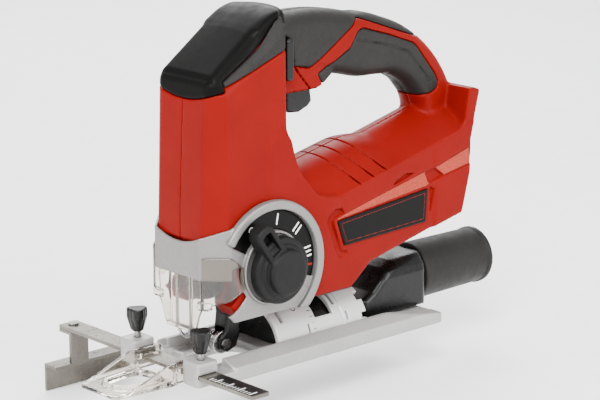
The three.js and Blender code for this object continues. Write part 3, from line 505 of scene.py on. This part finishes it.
SCREWS = [(-52, 180), (-46, 45), (90, 84), (88, 119)]
LID_SIDE = [(-110, 150), (-87.2, 150), (-86, 179.3), (-42, 207), (-22, 205.4), (-22, 240), (-110, 240)]
LID_PLAN = [(-110, -60), (-86.6, -60), (-86.2, -30), (-84, -29), (-42, -23.4), (-33, -20), (-27.6, -11),
            (-25.8, 0), (-27.6, 11), (-33, 20), (-42, 23.4), (-84, 29), (-86.2, 30), (-86.6, 60), (-110, 60)]
UPPER_SIDE = [(-100, 174.5), (-88, 175.2), (-39.6, 193.2), (-33.5, 199), (-24.6, 196), (-22.6, 189.5),
              (-21.4, 178.8), (-7.2, 175.8), (-1, 179.8), (21.5, 194.2), (30.4, 199.6), (33.6, 201.4),
              (36.6, 201), (60.8, 192.4), (85, 184.2), (91, 183.4), (96, 186), (96, 240), (-100, 240)]
LOWER_SIDE = [(36, 195.2), (58, 188.6), (79.8, 181), (83.8, 178.6), (101.6, 158.2), (104.6, 153),
              (103.6, 148.6), (99, 146.2), (90, 145), (80, 146.2), (66, 143), (60, 150), (52, 156), (14, 158),
              (9, 162.6), (3.4, 164.9), (0, 171), (25, 184), (31.7, 193.7)]
INNER_LINE = [(30, 189), (60, 181.6), (76, 175.6), (79.4, 172.4), (97.4, 153.6)]


def lid_region(x, y, z):
    """Where the black lid lies, from its side and its plan, above a line that sags to the sides."""
    return both(outline(x, z, LID_SIDE), outline(x, y, LID_PLAN), 167.4 + 0.0075 * y * y - z, k=1.0)


def box_field(x, y, z, x0, x1, y0, y1, z0, z1):
    """A sharp box between two corners."""
    return np.maximum(np.maximum(within(x, x0, x1), within(y, y0, y1)), within(z, z0, z1))


LABEL = [(-1.3, 82.4), (4.7, 65.9), (75.6, 68.5), (76.9, 90.0)]
LABEL_POCKET = [(2.4, 90), (-3, 90.2), (-8.9, 87), (-10.2, 83), (-0.4, 60.6), (2.6, 57.8), (8.6, 60),
                (7.4, 62.4), (3.0, 62.8), (-4.6, 81.8), (-3.4, 84.6), (4.6, 86.8)]
BAND = [(-3, 83.8), (4.6, 86), (34.5, 92.9), (74, 101.4), (77, 94.6), (84.2, 103), (114.6, 111.4),
        (115.4, 100.2), (90.6, 96), (78.2, 92.6), (76, 91.6), (-0.8, 83)]
LEAF = [(46, 96.9), (49.5, 100), (57.3, 103), (64.3, 102), (62, 101), (53, 98.4)]
NOTCH = [(74.6, 101.5), (83.4, 102.4), (91, 96.8), (78.6, 93.2), (77.4, 94.4)]
SLOT = [(78.9, 91), (83, 88.6), (79.4, 71.4)]
FIN_FEET = (19.6, 33.2, 46.6)
FIN_LEAN = 0.87
DIAL = (-55.5, 64.0)
FOOT = [(-84, 43.4), (-80, 37.3), (-37, 37.3), (-22, 46), (-22, 64), (-68, 64), (-71, 52)]
BAY = [(-112, 68.4), (-75, 68.4), (-71.4, 65.4), (-70.6, 60), (-71, 57.4), (-83.4, 46.2), (-112, 34)]
BLADE_X = -81
ARM_PIN = (-64, 54)


def housing_field(x, y, z):
    """The red shell, both halves."""
    ay = np.abs(y)
    out = casing_field(x, y, z)
    u, v = x - DIAL[0], z - DIAL[1]
    soft = join(lid_region(x, y, z), outline(x, z, UPPER_SIDE), outline(x, z, LOWER_SIDE))
    bed = both(soft - GROOVE, -(out + SKIN + 0.1))
    for foot in FIN_FEET:
        fin = np.abs(x - foot + FIN_LEAN * (z - 101.5)) / math.hypot(1, FIN_LEAN) - 0.46
        over = both(fin, -(capsule(x, y, z, HUMP["start"], HUMP["end"], HUMP["r"] - 0.9)),
                    97.2 + 0.245 * (x + 1.3) - z, -20 - x, x - 56)
        bed = join(bed, over)
    skin = both(out, -bed)
    shell = both(skin, -(out + WALL))
    lining = both(box_field(x, y, z, -97, -47.5, -17.2, 17.2, 30, 82.2), out + SKIN + 0.3)
    posts = join(*(rod(x - px, z - pz, 4.6) for px, pz in SCREWS))
    rear_boss = both(rod(x - SCREWS[3][0], z - SCREWS[3][1], 6.2), within(y, 4, 22), k=1.2)
    shell = join(shell, lining, both(posts, out + 1.0), rear_boss, k=0.6)
    side = BODY_HALF - ay
    cuts = [box_field(x, y, z, -103, -50, -15, 15, 30, 62), box_field(x, y, z, -103, -67, -15, 15, 30, 80),
            box_field(x, y, z, -103, -96.9, -21, 21, 50, 83),
            box_field(x, y, z, -21.6, 1.6, -8.6, 8.6, 140, 170), box_field(x, y, z, 98, 130, -22, 22, 76, 116),
            box_field(x, y, z, 106, 130, -8, 8, 110, 135), both(rod(u, v, 41.4), HEAD_HALF + y),
            both(outline(x, z, FOOT) - 0.4, HEAD_HALF + y), both(rod(u, v, 4.4), 18 + y),
            both(rod(x - BLADE_X, y, 4.8), within(z, 70, 90)),
            both(rod(x - ARM_PIN[0], z - ARM_PIN[1], 2.8), ay - 17),
            box_field(x, y, z, -31.5, -24.5, -40, -7.4, 170.5, 197.5),
            both(outline(x, z, BAY), 14 - ay, 25 - rod(u, v, 0), k=1.0),
            both(outline(x, z, LABEL) - 0.5, side - 0.9), both(outline(x, z, LABEL_POCKET), side - 2.4, k=1.4),
            both(outline(x, z, BAND), side - 0.55), both(outline(x, z, LEAF), side - 2.2, k=0.8),
            both(outline(x, z, NOTCH), side - 2.2, k=0.6), both(outline(x, z, SLOT), side - 2.2, k=0.6), ]
    holes = join(*(both(join(both(rod(x - px, z - pz, 4), 8 - y), rod(x - px, z - pz, 2.1)), -19 - y)
                   for px, pz in SCREWS))
    return less(shell, *cuts, holes)


FINE_X, FINE_Z = ((-40, 60, 0.5),), ((96, 128, 0.5),)
HOUSING_STEP = 0.95
for side, sign in SIDES:
    sculpt_half(f"housing_{side}_shell", sign, housing_field, (-101, 35.5), (125.5, 217), 34.5, HOUSING_STEP,
                "housing", RED, (f"housing_{side}",), "casing_red", fine=(FINE_X, (), FINE_Z), ratio=0.5)


def skin_piece(x, y, z, region, proud=0.0):
    """A skin over a region of the casing, standing proud of it or flush."""
    out = casing_field(x, y, z)
    return both(both(out - proud, region, k=1.6), -(out + SKIN))


def shoulder_field(x, y, z):
    return skin_piece(x, y, z, both(outline(x, z, UPPER_SIDE), -(lid_region(x, y, z) - GROOVE)))


def palm_field(x, y, z):
    body = skin_piece(x, y, z, outline(x, z, LOWER_SIDE), 0.1)
    line = line_distance(x, z, INNER_LINE) - 0.5
    return less(body, both(line, -(casing_field(x, y, z) + 0.8)), k=0.3)


def lid_field(x, y, z):
    return skin_piece(x, y, z, lid_region(x, y, z))


SKIN_STEP = 0.7
sculpt("lid", lid_field, (-101, -32, 165), (-24, 32, 220), SKIN_STEP, "housing", LID, ("top_cover",),
       "black_plastic")
for side, sign in SIDES:
    sculpt_half(f"shoulder_skin_{side}", sign, shoulder_field, (-94, 172), (98, 220), 33, SKIN_STEP,
                "housing", RUBBER, (f"shoulder_grip_{side}",), "soft_grip")
    sculpt_half(f"palm_skin_{side}", sign, palm_field, (-3, 141), (110, 198), 18.5, SKIN_STEP,
                "housing", RUBBER, (f"handle_grip_{side}",), "soft_grip")


# ---------------------------------------------------------------- silver cover, dial and knob

COVER_PLAN = [(-99.5, -20), (-87, -31), (20, -31), (20, 31), (-87, 31), (-99.5, 20)]
BAND_SIDE = [(-106, 61.5), (-72, 61.5), (-72, 101), (-79, 95.6), (-84, 93.6), (-87, 92.6), (-99.5, 87.6),
             (-106, 87)]
COVER_BAY = [(-86.2, 68.2), (-75.4, 68.2), (-71.6, 65.2), (-70.6, 60), (-69.4, 54.2), (-80.4, 43.4),
             (-84.2, 41), (-112, 30), (-112, 61.4), (-86.2, 61.4)]
RING_IN, RING_OUT, SEAT_IN, SEAT_OUT = 35.2, 41.0, 20.9, 22.6
KNOB_TURN = math.radians(122)
KNOB_ARM = [(6, -6.8), (30, -6.8), (33.4, -4.6), (34, 0), (33.4, 4.6), (30, 6.8), (6, 6.8)]
KNOB_EYE = [(15, -3.4), (28.8, -3.4), (29.6, 0), (28.8, 3.4), (15, 3.4)]
DIAL_MARKS = ((80, (0.0,)), (44, (-1.5, 1.5)), (8, (-2.8, 0.0, 2.8)))


def sector(u, v, start, stop):
    """The wedge between two angles, in degrees, counted from +u towards +v."""
    first, last = math.radians(start), math.radians(stop)
    a = u * math.sin(first) - v * math.cos(first)
    b = v * math.cos(last) - u * math.sin(last)
    return np.maximum(a, b) if stop - start < 180 else np.minimum(a, b)


def annulus(u, v, inner, outer):
    r = np.sqrt(u * u + v * v)
    return np.maximum(r - outer, inner - r)


def cover_field(x, y, z):
    u, v = x - DIAL[0], z - DIAL[1]
    plan = outline(x, y, COVER_PLAN)
    layer = both(plan - 1.8, 0.25 - plan)
    smile = both(x + 98, 82.6 + 4.4 * (y / 19.6) ** 2 - z)
    band = less(both(layer, outline(x, z, BAND_SIDE)), smile, both(-y, 92.4 - z))
    right = both(layer, 20 - y, round_box(x, y, z, (-80, -60, 61.5), (-61, 60, 92.5), 8))
    disc = both(join(rod(u, v, RING_OUT), outline(x, z, FOOT), k=3), y, layer)
    window = both(annulus(u, v, SEAT_OUT, RING_IN), sector(u, v, -20, 150), y)
    bezel = both(annulus(u, v, RING_IN, RING_OUT), sector(u, v, -62, 150), within(y, -35.7, -31.6), k=1.6)
    seat = both(annulus(u, v, SEAT_IN, SEAT_OUT), within(y, -35.2, -31.6), k=0.6)
    sheet = less(join(band, right, disc), window, both(outline(x, z, COVER_BAY), 24.4 - rod(u, v, 0), y), k=0.4)
    return less(join(sheet, bezel, seat, k=0.8), both(rod(u, v, 4.6), y))


sculpt("gear_cover_casting", cover_field, (-103, -36.5, 35), (-12, 34, 107), 0.6, "housing", SILVER,
       ("gear_cover",), "silver_cover", ratio=0.6)


def dial_field(x, y, z):
    u, v = x - DIAL[0], z - DIAL[1]
    return both(annulus(u, v, SEAT_OUT + 0.25, RING_IN - 0.25), sector(u, v, -19.4, 149.4),
                within(y, -32.4, -31.4), k=0.3)


sculpt("dial_sector", dial_field, (-92, -33, 50), (-18, -31, 101), 0.5, "housing", PRINT, ("dial_plate",),
       "black_plastic", ratio=0.5)


def marks_field(x, y, z):
    strokes = []
    for angle, offsets in DIAL_MARKS:
        c, s = math.cos(math.radians(angle)), math.sin(math.radians(angle))
        for offset in offsets:
            ends = [(DIAL[0] + r * c - offset * s, -32.45, DIAL[1] + r * s + offset * c) for r in (26, 32.2)]
            strokes.append(capsule(x, y, z, *ends, 0.62))
    zero_u, zero_v = x - DIAL[0] - 29 * math.cos(KNOB_TURN), z - DIAL[1] - 29 * math.sin(KNOB_TURN)
    zero = np.abs(rod(zero_u * 1.4, zero_v, 2.4)) - 0.5
    return both(join(*strokes, zero), within(y, -32.62, -32.3))


sculpt("dial_marks", marks_field, (-76, -32.8, 58), (-20, -32.1, 98), 0.3, "housing", WHITE_PRINT, (),
       "scale_white", ratio=0.5)


def tick_field(x, y, z):
    u, v = x - DIAL[0], z - DIAL[1]
    return both(annulus(u, v, 25, 33.5), within(y, -32.62, -32.3), sector(u, v, -9, -6))


sculpt("dial_tick", tick_field, (-34, -32.8, 56), (-20, -32.1, 63), 0.25, "housing", RED_PRINT, (),
       "casing_red", ratio=0.5)


def knob_field(x, y, z):
    u, v = x - DIAL[0], z - DIAL[1]
    a = u * math.cos(KNOB_TURN) + v * math.sin(KNOB_TURN)
    b = v * math.cos(KNOB_TURN) - u * math.sin(KNOB_TURN)
    base = both(rod(u, v, 20.5), within(y, -44, -36.2), k=2.4)
    step = both(rod(u, v, 16.4), within(y, -45.4, -40), k=1.2)
    cap = both(rod(u, v, 13.8), within(y, -50, -42), k=2.0)
    arm = both(outline(a, b, KNOB_ARM), -48.4 + 0.09 * (a - 8) - y, y + 36.4, k=1.6)
    eye = both(outline(a, b, KNOB_EYE), y + 39.6)
    return less(join(base, step, less(arm, eye, k=0.7), cap, k=0.8), both(rod(u, v, 4.3), -41 - y))


sculpt("selector_knob", knob_field, (-79, -51, 42), (-33, -35, 96), 0.5, "knob", KNOB, ("orbit_knob",),
       "black_plastic", ratio=0.6)

# ---------------------------------------------------------------- side label and band


def label_field(x, y, z):
    return both(outline(x, z, LABEL), within(y, -33, -32.12), k=0.4)


def border_field(x, y, z):
    return both(np.abs(outline(x, z, LABEL) + 2.4) - 0.32, within(y, -33.1, -32.85))


def band_field(x, y, z):
    """The painted band on both side walls, cut out round the leaf and the notch."""
    paint = both(outline(x, z, BAND) + 0.25, within(np.abs(y), 32.3, 32.92), k=0.3)
    return less(paint, outline(x, z, LEAF) - 0.2, outline(x, z, NOTCH) - 0.2)


sculpt("label_plate_print", label_field, (-2.5, -33.6, 64.5), (78, -31.6, 91.5), 0.4, "housing", PRINT,
       ("label_plate",), "black_plastic", ratio=0.4)
sculpt("label_border", border_field, (-2, -33.4, 65), (77.5, -32.5, 91), 0.25, "housing", RED_PRINT, (),
       "casing_red", ratio=0.4)
for side, sign in SIDES:
    near, far = sorted((sign * 32, sign * 33.4))
    sculpt(f"side_band_{side}", band_field, (-5, near, 81), (117, far, 113), 0.4, "housing", ACCENT, (),
           "casing_red", ratio=0.4)

# ---------------------------------------------------------------- trigger, lock, wire, roller and chuck

WHEEL = (-69.4, 13)
TRIGGER_SIDE = [(-20.4, 172), (-20.4, 149.8), (-17.4, 148.2), (-10, 147.6), (-2.4, 150.4), (0.6, 153.4),
                (-0.4, 160), (1, 166), (1, 172)]


def trigger_field(x, y, z):
    paddle = both(outline(x, z, TRIGGER_SIDE), within(y, -8, 8), k=2.6)
    return less(paddle, box_field(x, y, z, -17, -2, -5.6, 5.6, 160, 180))


def lock_field(x, y, z):
    return both(round_box(x, y, z, (-31, -30, 171.2), (-25, 10, 196.8), 2.4), within(y, -20, -11), k=1.4)


sculpt("trigger_paddle", trigger_field, (-22, -9, 146.5), (2.5, 9, 173), 0.5, "trigger", BLACK, ("trigger",),
       "black_plastic", ratio=0.6)
sculpt("lock_fin", lock_field, (-32, -21, 170), (-24, -10, 198), 0.45, "lock", BLACK, ("lock_button",),
       "black_plastic")

WIRE = curve([(-6.2, 79.6), (-6.2, 50), (-6.2, 30), (-4.6, 24), (0, 21.6), (4.6, 24), (6.2, 30), (6.2, 50),
              (6.2, 79.6)])


def wire_field(x, y, z):
    return join(*(capsule(x, y, z, (-95.6, *a), (-95.6, *b), 1.0) for a, b in zip(WIRE, WIRE[1:])))


sculpt("guard_wire", wire_field, (-97.4, -8, 20), (-93.8, 8, 81), 0.3, "housing", STEEL, ("finger_guard",),
       "steel", ratio=0.5)

ARM_SIDE = [(-69, 59), (-59.5, 59), (-58.4, 50), (-59, 38), (-56.5, 27), (-57, 17), (-60, 9), (-67, 6.2),
            (-73.4, 9.5), (-73.4, 16.5), (-68.6, 21), (-67.4, 30), (-68.6, 40), (-70, 52)]


def fork_field(x, y, z):
    arm = both(outline(x, z, ARM_SIDE), within(y, -6, 6), k=1.8)
    gap = box_field(x, y, z, -80, -58.6, -4.2, 4.2, 0, 22)
    return less(arm, gap, rod(x - ARM_PIN[0], z - ARM_PIN[1], 2.8), rod(x - WHEEL[0], z - WHEEL[1], 2.3))


def wheel_field(x, y, z):
    u, v = x - WHEEL[0], z - WHEEL[1]
    rim = both(rod(u, v, 7.2), within(y, -3.9, 3.9), k=0.6)
    groove = both(annulus(u, v, 5.6, 9), within(y, -1.75, 1.75))
    return less(rim, groove, rod(u, v, 2.3))


def chuck_field(x, y, z):
    u = x - BLADE_X
    knurl = 0.25 * np.cos(16 * np.arctan2(y, u))
    ring = both(rod(u, y, 9.4) - knurl + 0.25, within(z, 46.2, 56.2), k=1.2)
    lever = both(within(x, -84.4, -77.6), within(y, -13, 0), within(z, 48, 56.2), k=1.4)
    return less(join(ring, lever, k=1.0), rod(u, y, 5.9))


sculpt("roller_fork", fork_field, (-75, -7, 5), (-55, 7, 60.5), 0.45, "arm", BLACK, ("roller_arm",),
       "dark_steel", ratio=0.6)
sculpt("guide_wheel", wheel_field, (-77.5, -4.6, 5), (-61.5, 4.6, 21), 0.3, "roller", STEEL, ("guide_roller",),
       "steel", ratio=0.5)
sculpt("chuck_ring", chuck_field, (-91.5, -14, 45), (-70.5, 10.4, 57.4), 0.45, "chuck", BLACK,
       ("chuck_collar",), "black_plastic", ratio=0.6)

# ---------------------------------------------------------------- clear guard

EAR_SIDE = [(-104, 43.4), (-89, 49.2), (-74, 55.4), (-72.6, 57), (-73.2, 62.6), (-75.6, 66), (-87.4, 75.6),
            (-104, 75.8)]
GUARD_FRONT = [(-19.6, 42.6), (-17.6, 39.4), (-14.4, 30), (-12.4, 27.7), (12.4, 27.7), (14.4, 30), (17.6, 39.4),
               (19.6, 42.6), (19.6, 68), (-19.6, 68)]


def guard_field(x, y, z):
    plan = outline(x, y, HEAD_PLAN)
    ears = both(plan - 3.5, 2.1 - plan, within(x, -100.8, -70), outline(x, z, EAR_SIDE), k=0.7)
    front = both(within(x, -99.4, -97.8), outline(y, z, GUARD_FRONT), k=0.5)
    bridge = both(plan - 3.5, -2 - plan, within(x, -100.8, -95.6), within(z, 43.4, 47.6),
                  within(np.abs(y), 17, 26), k=0.6)
    ribs = both(within(x, -98.6, -96.9), within(np.abs(np.abs(y) - 9.6), -1, 0.5), within(z, 29, 67), k=0.4)
    lip = both(within(x, -100.6, -97.9), within(np.abs(y), -1, 12), within(z, 27.7, 30), k=0.8)
    return join(ears, front, bridge, ribs, lip, k=0.8)


sculpt("guard_window", guard_field, (-102, -36, 26.5), (-77, 36, 76), 0.45, "guard", CLEAR, ("blade_guard",),
       "clear_plastic", ratio=0.5)

# ---------------------------------------------------------------- sole, collar, knobs and guide

RIM = [(-37.5, 0), (-37.5, 8.6), (-28, 13), (-25.6, 13), (-25.6, 6), (25.6, 6), (25.6, 13), (28, 13),
       (37.5, 8.6), (37.5, 0)]
STUD = (-108.5, 29.8)
TILT_Z = 6
SOLE_SIDE = [(-89.6, 0), (89, 0), (89, 6.4), (45, 13), (-89.6, 13)]


def sole_field(x, y, z):
    ay = np.abs(y)
    body = both(outline(y, z, RIM), outline(x, z, SOLE_SIDE),
                round_box(x, y, z, (-89.6, -37.5, -30), (89, 37.5, 40), 4), k=1.0)
    block = both(round_box(x, ay, z, (-117, 22, -20), (-101, 37.5, 60), 2.5), within(z, 2.5, 17.4), k=1.4)
    web = both(within(x, -103, -86), within(ay, 22, 37.5), within(z, 0, 7.4), k=0.8)
    pan = both(within(x, -86, -46), within(y, -24.5, 24.5), 4 - z, k=0.8)
    slot = both(within(x, -130, -56), ay - 11)
    slot = join(slot, rod(x + 61, y, 11))
    head = join(rod(x + 10, y, 2.8), both(rod(x + 10, y, 5.2), z - 3.4))
    rail = both(within(x, -116.2, -102.1), within(ay, -1, 60), within(z, 7.5, 10.3))
    hole = both(rod(x - STUD[0], ay - STUD[1], 2.3), 9 - z)
    return less(join(body, web, block, k=0.8), pan, both(slot, x + 50), head, rail, hole)


sculpt("sole_casting", sole_field, (-118.5, -38.5, -1), (90.5, 38.5, 18.6), 0.75, "base", CAST, ("base_plate",),
       "casting", ratio=0.5)


def collar_field(x, y, z):
    r = np.sqrt(y * y + (z - TILT_Z) ** 2)
    turn = np.arctan2(z - TILT_Z, -y)
    tube = both(r - 25.3, 22.1 - r, within(x, -42.5, 33), 6.4 - z, k=0.6)
    window = both(within(x, -9, 5.6), np.abs(turn - math.pi / 2) * 24 - 23.5)
    teeth = both(28.8 - x, 3.2 * np.cos(11 * turn) + 0.8, 12 - z)
    step = both(x + 38.6, np.abs(turn - math.pi / 2) * 24 - 12)
    slits = [both(within(x, c - w, c + w), within(turn * 25, a, b), k=0.3) for c, w, a,
             b in ((-35.5, 1.1, 17, 30), (9.2, 0.9, 20, 34), (16.5, 0.7, 8, 14), (-16, 0.6, 6, 12))]
    bar = both(within(x, 12.5, 12.5 + 0.8), within(turn * 25, 6, 34), 24.6 - r)
    return less(tube, window, teeth, step, *slits, bar)


sculpt("bevel_collar", collar_field, (-43.5, -26.2, 5.4), (34, 26.2, 32.3), 0.5, "base", COLLAR,
       ("bevel_scale",), "scale_white", ratio=0.5)


def collar_print_field(x, y, z):
    r = np.sqrt(y * y + (z - TILT_Z) ** 2)
    around = np.arctan2(z - TILT_Z, -y) * 25.3
    zero = np.abs(rod((around - 25) * 0.75, x + 22, 1.6)) - 0.35
    line = both(within(around, 24.6, 25.2), within(x, -13.6, -9.6))
    marks = [both(within(around, a, a + 0.6), within(x, -13.2, -10.4)) for a in (8, 12, 16, 20, 29.5, 34, 38)]
    return both(join(zero, line, *marks), within(r, 25.1, 25.42), y - 8)


sculpt("collar_print", collar_print_field, (-26, -25.8, 10), (-8.5, 8, 31.8), 0.3, "base", BLACK_PRINT, (),
       "black_plastic", ratio=0.5)


def clamp_knob_field(x, y, z, side):
    u, v = x - STUD[0], y - side * STUD[1]
    r = np.sqrt(u * u + v * v)
    lobes = join(*(rod(u - 3.2 * math.cos(t), v - 3.2 * math.sin(t), 3.6)
                   for t in (0, 2 * math.pi / 3, 4 * math.pi / 3)), k=1.6)
    spread = np.clip((z - 21) / 9, 0, 1)
    body = both(join(lobes + (1 - spread) * 2.6, r - 3.6 - 1.6 * spread), within(z, 21, 35.6), k=1.6)
    return less(body, both(r - 2.3, z - 32))


for side, sign in SIDES:
    sculpt(f"clamp_grip_{side}", lambda x, y, z, sign=sign: clamp_knob_field(x, y, z, sign),
           (-116, sign * STUD[1] - 7.8, 20), (-101, sign * STUD[1] + 7.8, 36.6), 0.42, f"{side}_clamp", BLACK,
           (f"clamp_knob_{side}",), "black_plastic", ratio=0.6)

sculpt("rail_scale", lambda x, y, z: box_field(x, y, z, -115.2, -103.1, -82.6, -42, 9.9, 10.1),
       (-116, -83.4, 9.7), (-102, -41, 10.3), 0.3, "fence", BLACK_PRINT, (), "black_plastic", ratio=0.3)


def ticks_field(x, y, z):
    along = y + 80
    fine = np.abs(along - 2.5 * np.round(along / 2.5)) - 0.28
    long = np.abs(along - 10 * np.round(along / 10)) - 0.45
    return both(join(both(fine, within(x, -115, -111.4)), both(long, within(x, -115, -108.6))),
                within(y, -81, -43), within(z, 10.0, 10.18))


sculpt("rail_ticks", ticks_field, (-115.6, -81.8, 9.9), (-108, -42.4, 10.26), 0.2, "fence", WHITE_PRINT, (),
       "scale_white", ratio=0.4)

GUIDE_PLAN = [(-163, -14.6), (-160.4, -17.2), (-119, -20.8), (-119, 20.8), (-160.4, 17.2), (-163, 14.6)]
GUIDE_EYE = curve([(-152, -3), (-149, -8), (-144, -9.4), (-130, -10.8), (-124.5, -8.6), (-122.5, -3),
                   (-122.5, 3), (-124.5, 8.6), (-130, 10.8), (-144, 9.4), (-149, 8), (-152, 3)])
GUIDE_WING = [(-158, 2), (-101.3, 2), (-101.3, 14.4), (-124, 14.4)]


def guide_field(x, y, z):
    ay = np.abs(y)
    eye = outline(x, y, GUIDE_EYE)
    plate = both(outline(x, y, GUIDE_PLAN), within(z, 1, 3.4), k=0.8)
    lip = both(np.abs(eye - 1.2) - 1.2, within(z, 1, 5.2), k=0.8)
    thick = np.where(x > -119.5, 2.3, 1.2)
    wing = both(outline(x, z, GUIDE_WING), np.abs(ay - 18.2) - thick, k=0.8)
    slot = both(within(x, -116.2, -102.1), within(z, 7.5, 10.3))
    return less(join(plate, lip, wing, k=1.2), eye, slot)


sculpt("sight_guide", guide_field, (-164, -21.8, 0.2), (-100.4, 21.8, 15.4), 0.5, "base", CLEAR, ("cut_guide",),
       "clear_plastic", ratio=0.5)

# ---------------------------------------------------------------- dust duct and port

PORT_Z, PORT_R = 25.5, 19
DUCT_SIDE = [(36, 6.6), (92, 6.6), (92, 42.6), (88, 43), (66, 40.4), (57, 36.8), (44, 24.6), (36, 20)]
DUCT_FRONT = [(-18.8, 6.6), (18.8, 6.6), (18.8, 31), (17.6, 35.6), (12.6, 42), (9.4, 43.4), (-9.4, 43.4),
              (-12.6, 42), (-17.6, 35.6), (-18.8, 31)]


def duct_field(x, y, z):
    side, front = outline(x, z, DUCT_SIDE), outline(y, z, DUCT_FRONT)
    inner = both(side + 2.4, front + 2.4)
    intake = box_field(x, y, z, 30, 40, -16, 16, 8.6, 18)
    bore = both(np.sqrt(y * y + (z - PORT_Z) ** 2) - 15.6, 84 - x)
    return less(both(side, front, k=5.0), inner, intake, bore)


def port_field(x, y, z):
    r = np.sqrt(y * y + (z - PORT_Z) ** 2)
    tube = both(r - PORT_R + 0.012 * (x - 92), within(x, 92.3, 155), k=1.4)
    rim = both(np.abs(r - 17.4) - 1.6, within(x, 151, 155), k=0.8)
    neck = both(r - 15.2, within(x, 86, 94))
    return less(join(tube, rim, neck), both(r - 16.4, 96 - x), r - 13.4)


sculpt("duct_body", duct_field, (35, -20, 5.6), (93.5, 20, 44.5), 0.6, "base", BLACK, ("dust_duct",),
       "black_plastic", ratio=0.5)
sculpt("port_tube", port_field, (85, -20, 5.5), (156, 20, 45.5), 0.7, "port", RUBBER, ("dust_port",),
       "black_plastic", ratio=0.6)


# ---------------------------------------------------------------- floor

FLOOR_Z = (CAD_BOX[0][2] - 0.0005) / MM
FLOOR_CORNERS = [(-4000, -4000), (4000, -4000), (4000, 4000), (-4000, 4000)]
floor = new_object("floor", [(*corner, FLOOR_Z) for corner in FLOOR_CORNERS], [(0, 1, 2, 3)], smooth=False)
floor.data.materials.append(finish_of("floor_paper", (0.93, 0.93, 0.93), 0.7, grain=6, depth=0.01, tone=0.01))
